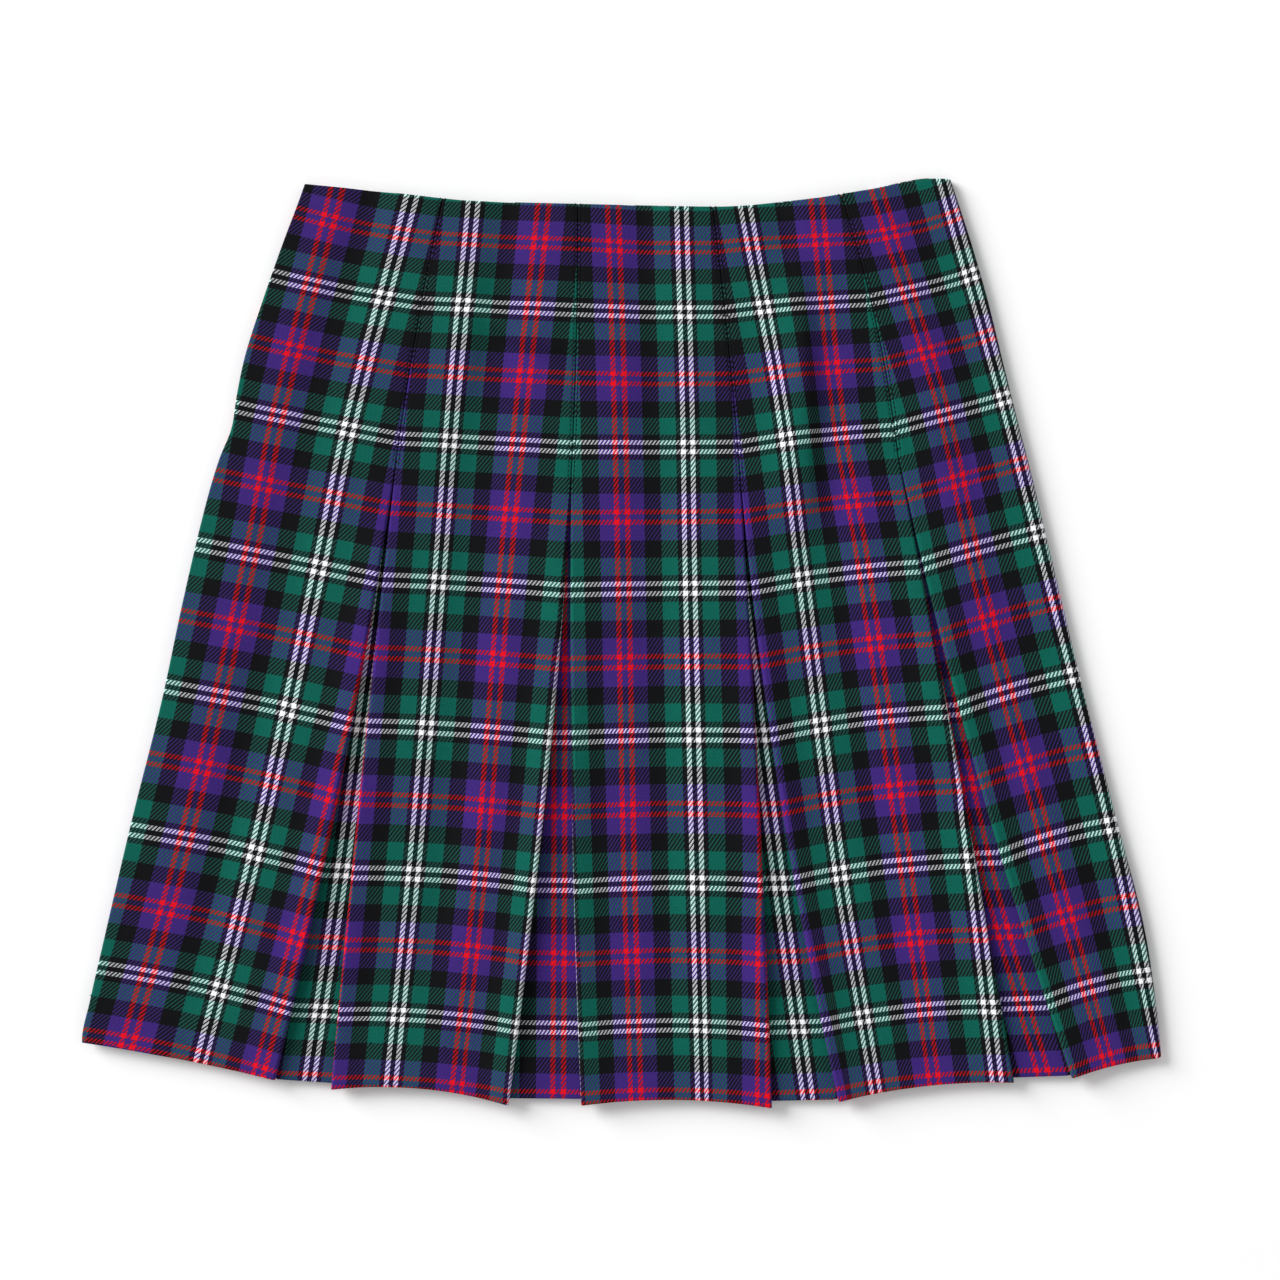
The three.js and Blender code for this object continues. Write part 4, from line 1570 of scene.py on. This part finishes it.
@dataclass(frozen=True)
class StitchRun:
    """A run of stitches along lines on the cloth, made by Geometry Nodes."""

    name: str
    pitch: float
    length: float
    width: float
    slant: float = 0.0
    slip: float = 0.06
    seed: int = 3

    def tree(self) -> bpy.types.NodeTree:
        """Builds the node tree, with its sizes as named inputs in metres and radians."""
        tree = bpy.data.node_groups.new(f"{self.name}_nodes", "GeometryNodeTree")
        for name, kind in STITCH_INPUTS.items():
            tree.interface.new_socket(name, in_out="INPUT", socket_type=f"NodeSocket{kind}")
        tree.interface.new_socket("Geometry", in_out="OUTPUT", socket_type="NodeSocketGeometry")
        nodes = {}
        for name, (kind, settings) in STITCH_NODES.items():
            nodes[name] = tree.nodes.new(kind)
            for key, value in settings.items():
                setattr(nodes[name], key, value)
        for name, socket, value in STITCH_VALUES:
            nodes[name].inputs[socket].default_value = value
        for source, output, target, socket in STITCH_LINKS:
            tree.links.new(nodes[source].outputs[output], nodes[target].inputs[socket])
        return tree

    def build(self, lines: list[Array], material: bpy.types.Material) -> bpy.types.Object:
        """Sews along lines on the cloth.

        Args:
            lines: points of each line, in millimetres.
            material: the thread.

        Returns:
            One plain mesh of all the stitches.
        """
        points = np.concatenate(lines) * MM
        ends = np.cumsum([len(line) for line in lines])
        edges = [(k, k + 1) for k in range(len(points) - 1) if k + 1 not in ends]
        guide = bpy.data.meshes.new(f"{self.name}_guide")
        guide.from_pydata(points.tolist(), edges, [])
        carrier = linked(f"{self.name}_guide", guide)
        tree = self.tree()
        modifier = carrier.modifiers.new("stitches", "NODES")
        modifier.node_group = tree
        values = {
            "Pitch": self.pitch * MM, "Length": self.length * MM, "Width": self.width * MM,
            "Slant": self.slant, "Slip": self.slip, "Seed": self.seed, "Material": material,
        }
        for item in tree.interface.items_tree:
            if item.in_out == "INPUT" and item.name in values:
                modifier[item.identifier] = values[item.name]
        depsgraph = bpy.context.evaluated_depsgraph_get()
        mesh = bpy.data.meshes.new_from_object(carrier.evaluated_get(depsgraph))
        mesh.name = self.name
        mesh.shade_smooth()
        bpy.data.objects.remove(carrier)
        return linked(self.name, mesh)


@dataclass
class Skirt:
    """The whole skirt: its cloth pieces, and the sewing on them."""

    cloth_finish: CheckTwill = field(default_factory=CheckTwill)
    thread_finish: FineRibs = SEWING_THREAD
    zip_finish: FineRibs = ZIP_TAPE_CLOTH
    coil_finish: CoilNylon = field(default_factory=CoilNylon)
    surfaces: dict[str, Surface] = field(default_factory=dict)
    pieces: dict[str, ClothPiece] = field(default_factory=dict)
    made: dict[str, bpy.types.Object] = field(default_factory=dict)

    def build(self) -> None:
        """Makes every piece of the skirt, dresses it and seats it in the frame."""
        cloth = self.cloth_finish.build()
        zip_tape = self.zip_finish.build()
        for piece in [*self.front(), *self.back(), *self.left_side()]:
            surface = piece.surface()
            piece.lay_check(surface)
            is_zip = piece.name == "side_zip_left"
            shell = Shell(f"{piece.name}_cloth", surface, not is_zip, not is_zip)
            made = shell.build()
            made.data.materials.append(zip_tape if is_zip else cloth)
            self.pieces[piece.name] = piece
            self.surfaces[piece.name] = surface
            self.made[piece.name] = made
            self.seat(made, Slot.ZIP if is_zip else Slot.CLOTH)
            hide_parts(piece.name)
            lowest = min(vertex.co.z for vertex in made.data.vertices)
            LOG.info("%s: %d faces, lowest %.5f m", made.name, len(made.data.polygons), lowest)
        self.declare_sheets()
        self.sew()

    @staticmethod
    def seat(made: bpy.types.Object, slot: Slot) -> None:
        """Makes a piece ride on the skirt's one body."""
        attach(made, BODY)

    def front(self) -> list[ClothPiece]:
        """The front panels, the side panel and the underlays behind the front pleats."""
        made: list[ClothPiece] = []
        for k, hem in enumerate(PANEL_HEMS):
            left = LEFT_OUTLINE if k == 0 else FRONT_PLEATS[k - 1].edge(Side.RIGHT, hem.left)
            right = FRONT_PLEATS[k].edge(Side.LEFT, hem.right)
            bounds = Bounds(left, right, WAIST_LINE, hem.at, hem.left, hem.right)
            left_spring = CLOSED if k == 0 else Spring(FRONT_PLEATS[k - 1].tack_down, LEFT_SPRINGS[k])
            springs = (left_spring, Spring(FRONT_PLEATS[k].tack_down, RIGHT_SPRINGS[k]))
            made.append(FrontPanel(f"front_panel_{k + 1}", bounds, PANEL_GRAIN[k], 11 + k, springs))
        hem = SIDE_PANEL_HEM
        left = FRONT_PLEATS[-1].edge(Side.RIGHT, hem.left)
        bounds = Bounds(left, RIGHT_OUTLINE, WAIST_LINE, hem.at, hem.left, hem.right)
        springs = (Spring(FRONT_PLEATS[-1].tack_down, LEFT_SPRINGS[-1]), CLOSED)
        made.append(SidePanel("side_panel_right", bounds, PANEL_GRAIN[-1], 21, springs))
        for k, (pleat, hem) in enumerate(zip(FRONT_PLEATS, UNDERLAY_HEMS)):
            right_return = SIDE_RETURN if k == len(FRONT_PLEATS) - 1 else RETURN
            bounds = self.behind(
                pleat.edge(Side.LEFT, hem.left), pleat.edge(Side.RIGHT, hem.right), right_return, hem,
            )
            tucked = self.tucked_hem(bounds, pleat, hem, (made[k].bounds, made[k + 1].bounds))
            bounds = replace(bounds, hem=tucked)
            height = Layer.FRONT_UNDERLAY.height
            made.append(Underlay(f"front_underlay_{k + 1}", bounds, UNDERLAY_GRAIN[k], 31 + k, height))
        return made

    @staticmethod
    def tucked_hem(bounds: Bounds, pleat: Pleat, hem: Hem, beside: tuple[Bounds, Bounds]) -> Line:
        """Hem of a front underlay, a little shorter where it lies behind the panels beside it.

        Args:
            bounds: edges of the underlay.
            pleat: the pleat that it lies behind.
            hem: its hem where it shows.
            beside: bounds of the panels to its left and right.

        Returns:
            A function from shares of its width to how far down.
        """
        start, end = bounds.left(hem.left), bounds.right(hem.right)
        left_fold = pleat.edge(Side.LEFT, hem.left)(hem.left)
        right_fold = pleat.edge(Side.RIGHT, hem.right)(hem.right)

        def at(share: Array) -> Array:
            x = lerp(start, end, share)
            down = hem.at(share)
            for panel, behind in zip(beside, (x < left_fold, x > right_fold)):
                down = np.where(behind, np.minimum(down, panel.hem_at(x) - UNDERLAY_SHORT), down)
            return down

        return at

    @staticmethod
    def behind(left_fold: Line, right_fold: Line, right_return: Depth, hem: Hem) -> Bounds:
        """Bounds of a front underlay, which reaches as far in as the returns in front of it."""
        return Bounds(
            lambda down: left_fold(down) - RETURN.at(down) + UNDERLAY_INSET,
            lambda down: right_fold(down) + right_return.at(down) - UNDERLAY_INSET,
            WAIST_LINE, hem.at, hem.left, hem.right,
        )

    def back(self) -> list[ClothPiece]:
        """The back panels and the underlays behind the back pleats, right to left."""
        pleats = back_pleats()
        made: list[ClothPiece] = []
        for k, pleat in enumerate(pleats):
            last = k == len(pleats) - 1
            left = LEFT_OUTLINE if last else pleats[k + 1].edge(Side.RIGHT, BACK_HEM_END)
            right = facing_wrap_edge if k == 0 else pleat.edge(Side.LEFT, BACK_HEM_END)
            bounds, grain = self.back_bounds(left, right), self.back_grain(left, right)
            made.append(BackPanel(f"back_panel_{k + 1}", bounds, grain, 41 + k))
            facing = wrap_edge if k == 0 else pleat.edge(Side.RIGHT, BACK_HEM_END)
            left = self.shifted(right, RETURN, -1)
            right = self.shifted(facing, WRAP_RETURN if k == 0 else RETURN, 1)
            bounds, grain = self.back_bounds(left, right), self.back_grain(left, right)
            height = Layer.BACK_UNDERLAY.height
            made.append(Underlay(f"back_underlay_{k + 1}", bounds, grain, 51 + k, height))
        return made

    @staticmethod
    def shifted(fold: Line, depth: Depth, way: int) -> Line:
        """Edge of an underlay behind a fold, as far in as the return."""
        return lambda down: fold(down) + way * (depth.at(down) - UNDERLAY_INSET)

    @staticmethod
    def back_bounds(left: Line, right: Line) -> Bounds:
        """Bounds of a piece of the back, whose hem follows the back's hem line."""
        ends = [float(edge(BACK_HEM_END)) for edge in (left, right)]
        hems = [float(BACK_HEM(end)) for end in ends]
        return Bounds(
            left, right, lambda x: WAIST_LINE(x) - BACK_WAIST_RISE,
            lambda share: BACK_HEM(lerp(ends[0], ends[1], share)), hems[0], hems[1],
        )

    @staticmethod
    def back_grain(left: Line, right: Line) -> Grain:
        """Grain down the middle of a piece of the back, with its weft level."""
        levels = np.array(WARP_LEVELS)
        middle = (left(levels) + right(levels)) / 2
        return Grain((WarpLine(1, tuple(middle)),), LEVEL_WEFT)

    def left_side(self) -> list[ClothPiece]:
        """The folded underlay of the left side pleat, and the closed zip above it."""
        grain = Grain((WarpLine(0, tuple(LEFT_OUTLINE(np.array(WARP_LEVELS)) + 10)),), PANEL_WEFT[0])
        corner = float(BACK_HEM.values[0])
        underlay = Bounds(
            LEFT_OUTLINE, LEFT_OUTLINE, lambda x: np.full_like(x, SIDE_UNDERLAY_TOP), BACK_HEM,
            corner, corner,
        )
        top_down = float(WAIST_LINE(WAIST_EDGES[Side.LEFT])) + ZIP_TOP_BELOW_WAIST
        zip_bounds = Bounds(
            LEFT_OUTLINE, LEFT_OUTLINE, lambda x: np.full_like(x, top_down),
            lambda x: np.full_like(x, ZIP_END), ZIP_END, ZIP_END,
        )
        reaches = (lambda down: RETURN.at(down) - UNDERLAY_INSET, lambda down: np.full_like(down, ZIP_TAPE))
        return [
            FoldedStrip("side_underlay_left", underlay, grain, 0, reaches[0]),
            FoldedStrip("side_zip_left", zip_bounds, grain, 0, reaches[1]),
        ]

    def declare_sheets(self) -> None:
        """Measures each cloth piece over its folds and looks up what it rests on; neither result is kept."""
        for name, surface in self.surfaces.items():
            across = np.linalg.norm(np.diff(surface.points, axis=1), axis=2).sum(axis=1)
            length = float(np.linalg.norm(np.diff(surface.points, axis=0), axis=2).sum(axis=0).max())
            self.rests_on(name)

    @staticmethod
    def rests_on(name: str) -> list[str]:
        """Pieces that a piece lies on, or the pieces beside it that lie on the surface."""
        if name.startswith("front_panel"):
            return [f"front_underlay_{name[-1]}_cloth"]
        if name.startswith("front_underlay"):
            return [f"back_panel_{BACK_PANEL_COUNT + 1 - int(name[-1])}_cloth"]
        if name.startswith("back_underlay"):
            return [f"back_panel_{name[-1]}_cloth"]
        if name.startswith("side"):
            return ["back_panel_5_cloth" if name.endswith("left") else "front_underlay_4_cloth"]
        return []

    def sew(self) -> None:
        """Sews the topstitches, bar tacks and hem stitches, and lays the zip's coil."""
        thread = self.thread_finish.build()
        fronts = [f"front_panel_{k}" for k in range(1, 5)] + ["side_panel_right"]
        backs = [f"back_panel_{k}" for k in range(BACK_PANEL_COUNT, 0, -1)]
        front_rows, front_tacks = self.seams(fronts, [pleat.tack_down for pleat in FRONT_PLEATS])
        back_rows, back_tacks = self.seams(backs, [BACK_TACK_DOWN] * (BACK_PANEL_COUNT - 1))
        hems = [
            self.hem_line(self.surfaces[name], self.pieces[name].top_side(self.surfaces[name]))
            for name in fronts
        ]
        coil_column = STITCH_COLUMN - ARC_STEPS // 2 - 1
        coil = self.surfaces["side_zip_left"].line(coil_column, 0, FULL_LENGTH, COIL_PROUD)
        nylon = self.coil_finish.build()
        upright = math.pi / 2
        for run, lines, slot, material in (
            (StitchRun("front_topstitches", 2.6, 2.2, 0.7), front_rows, Slot.THREAD, thread),
            (StitchRun("back_topstitches", 2.6, 2.2, 0.7, seed=7), back_rows, Slot.THREAD, thread),
            (StitchRun("front_bar_tacks", 0.3, 1.3, 0.4, slant=upright), front_tacks, Slot.THREAD, thread),
            (StitchRun("back_bar_tacks", 0.3, 1.3, 0.4, slant=upright), back_tacks, Slot.THREAD, thread),
            (StitchRun("hem_stitches", 21.0, 1.1, 0.9, slip=0.6), hems, Slot.THREAD, thread),
            (StitchRun("zip_coil", 1.1, 1.9, 0.8, slant=upright), [coil], Slot.ZIP, nylon),
        ):
            made = run.build(lines, material)
            self.seat(made, slot)
            LOG.info("%s: %d faces", made.name, len(made.data.polygons))

    def seams(self, names: list[str], tack_downs: list[float]) -> tuple[list[Array], list[Array]]:
        """Lines of the topstitches and bar tacks of a row of panels.

        Args:
            names: the panels from left to right.
            tack_downs: how far down the bar tack between each two of them is.

        Returns:
            Lines of the topstitches, and lines of the bar tacks.
        """
        rows, tacks = [], []
        for before, after, tack_down in zip(names, names[1:], tack_downs):
            right_column = self.surfaces[before].share.shape[1] - 1 - STITCH_COLUMN
            ends = []
            for name, column in ((before, right_column), (after, STITCH_COLUMN)):
                row = self.surfaces[name].line(column, 0, tack_down, PROUD)
                rows.append(row)
                ends.append(row[-1])
            tacks.append(lerp(ends[0], ends[1], np.linspace(0, 1, TACK_POINTS)[:, None]))
        return rows, tacks

    @staticmethod
    def hem_line(surface: Surface, columns: slice) -> Array:
        """Line of the blind hem stitches, as far above the hem as the hem is turned up."""
        raised = (surface.points + surface.normals() * PROUD)[:, columns]
        down = surface.down[:, columns]
        row = np.argmin(np.abs(down[-1:] - HEM_ALLOWANCE - down), axis=0)
        return raised[row, np.arange(raised.shape[1])][::HEM_LINE_STEP]


@dataclass(frozen=True)
class Studio:
    """Pale floor, soft light from the upper left, and a camera that looks straight down."""

    frame_width: float = 0.736
    frame_level: float = 0.006
    camera_x: float = 0.01035
    camera_y: float = 0.0014
    camera_height: float = 1.745
    sensor: float = 36.0
    floor_size: float = 6.0
    floor_drop: float = 0.0004
    floor_glow: float = 0.02
    key_place: tuple[float, float, float] = (-13.0, 8.3, 7.6)
    key_size: float = 9.4
    key_power: float = 3860.0
    sky_strength: float = 0.51
    floor_tones: tuple[float, float] = (0.96, 0.98)

    def build(self) -> None:
        """Makes the floor, the lights and the camera."""
        self.floor()
        self.light()
        self.camera()
        bpy.context.scene.view_settings.view_transform = "Standard"

    def floor(self) -> None:
        """Makes the floor, with a faint unevenness."""
        half = self.floor_size / 2
        corners = [(-half, -half), (half, -half), (half, half), (-half, half)]
        mesh = bpy.data.meshes.new("floor")
        mesh.from_pydata([(x, y, -self.floor_drop) for x, y in corners], [], [(0, 1, 2, 3)])
        floor = linked("floor", mesh)
        graph = Graph("pale_floor")
        haze = graph.noise(graph.object_place(), 3.0, 2.0)
        colour = graph.mix(haze, *((tone, tone, tone, 1) for tone in self.floor_tones))
        mesh.materials.append(graph.surface(
            colour, haze, 0.0, Roughness=0.9, Specular_IOR_Level=0.1, Emission_Strength=self.floor_glow,
        ))
        floor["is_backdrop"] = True

    def light(self) -> None:
        """Makes the key light and the even light round it."""
        lamp = bpy.data.lights.new("key", "AREA")
        lamp.shape = "SQUARE"
        lamp.size = self.key_size
        lamp.energy = self.key_power
        key = linked("key", lamp)
        key.location = self.key_place
        x, y, z = self.key_place
        key.rotation_euler = (math.atan2(math.hypot(x, y), z), 0, math.atan2(x, -y))
        world = bpy.data.worlds.new("studio")
        world.use_nodes = True
        back = world.node_tree.nodes["Background"]
        back.inputs["Color"].default_value = (1, 1, 1, 1)
        back.inputs["Strength"].default_value = self.sky_strength
        bpy.context.scene.world = world

    def camera(self) -> None:
        """Makes the camera, which looks straight down."""
        data = bpy.data.cameras.new("camera")
        data.sensor_width = self.sensor
        data.lens = self.sensor * (self.camera_height - self.frame_level) / self.frame_width
        camera = linked("camera", data)
        camera.location = (self.camera_x, self.camera_y, self.camera_height)
        bpy.context.scene.camera = camera


def corners(box: tuple) -> list[list[float]]:
    """Lowest and highest corners of a box as plain lists."""
    return [[float(value) for value in corner] for corner in box]


def main() -> None:
    """Builds the skirt and the studio round the frame."""
    logging.basicConfig(level=logging.INFO, format="%(name)s: %(message)s")
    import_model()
    cad_box = corners(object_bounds())
    Skirt().build()
    Studio().build()
    {"cad": cad_box, "visual": corners(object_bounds())}


if __name__ == "__main__":
    main()
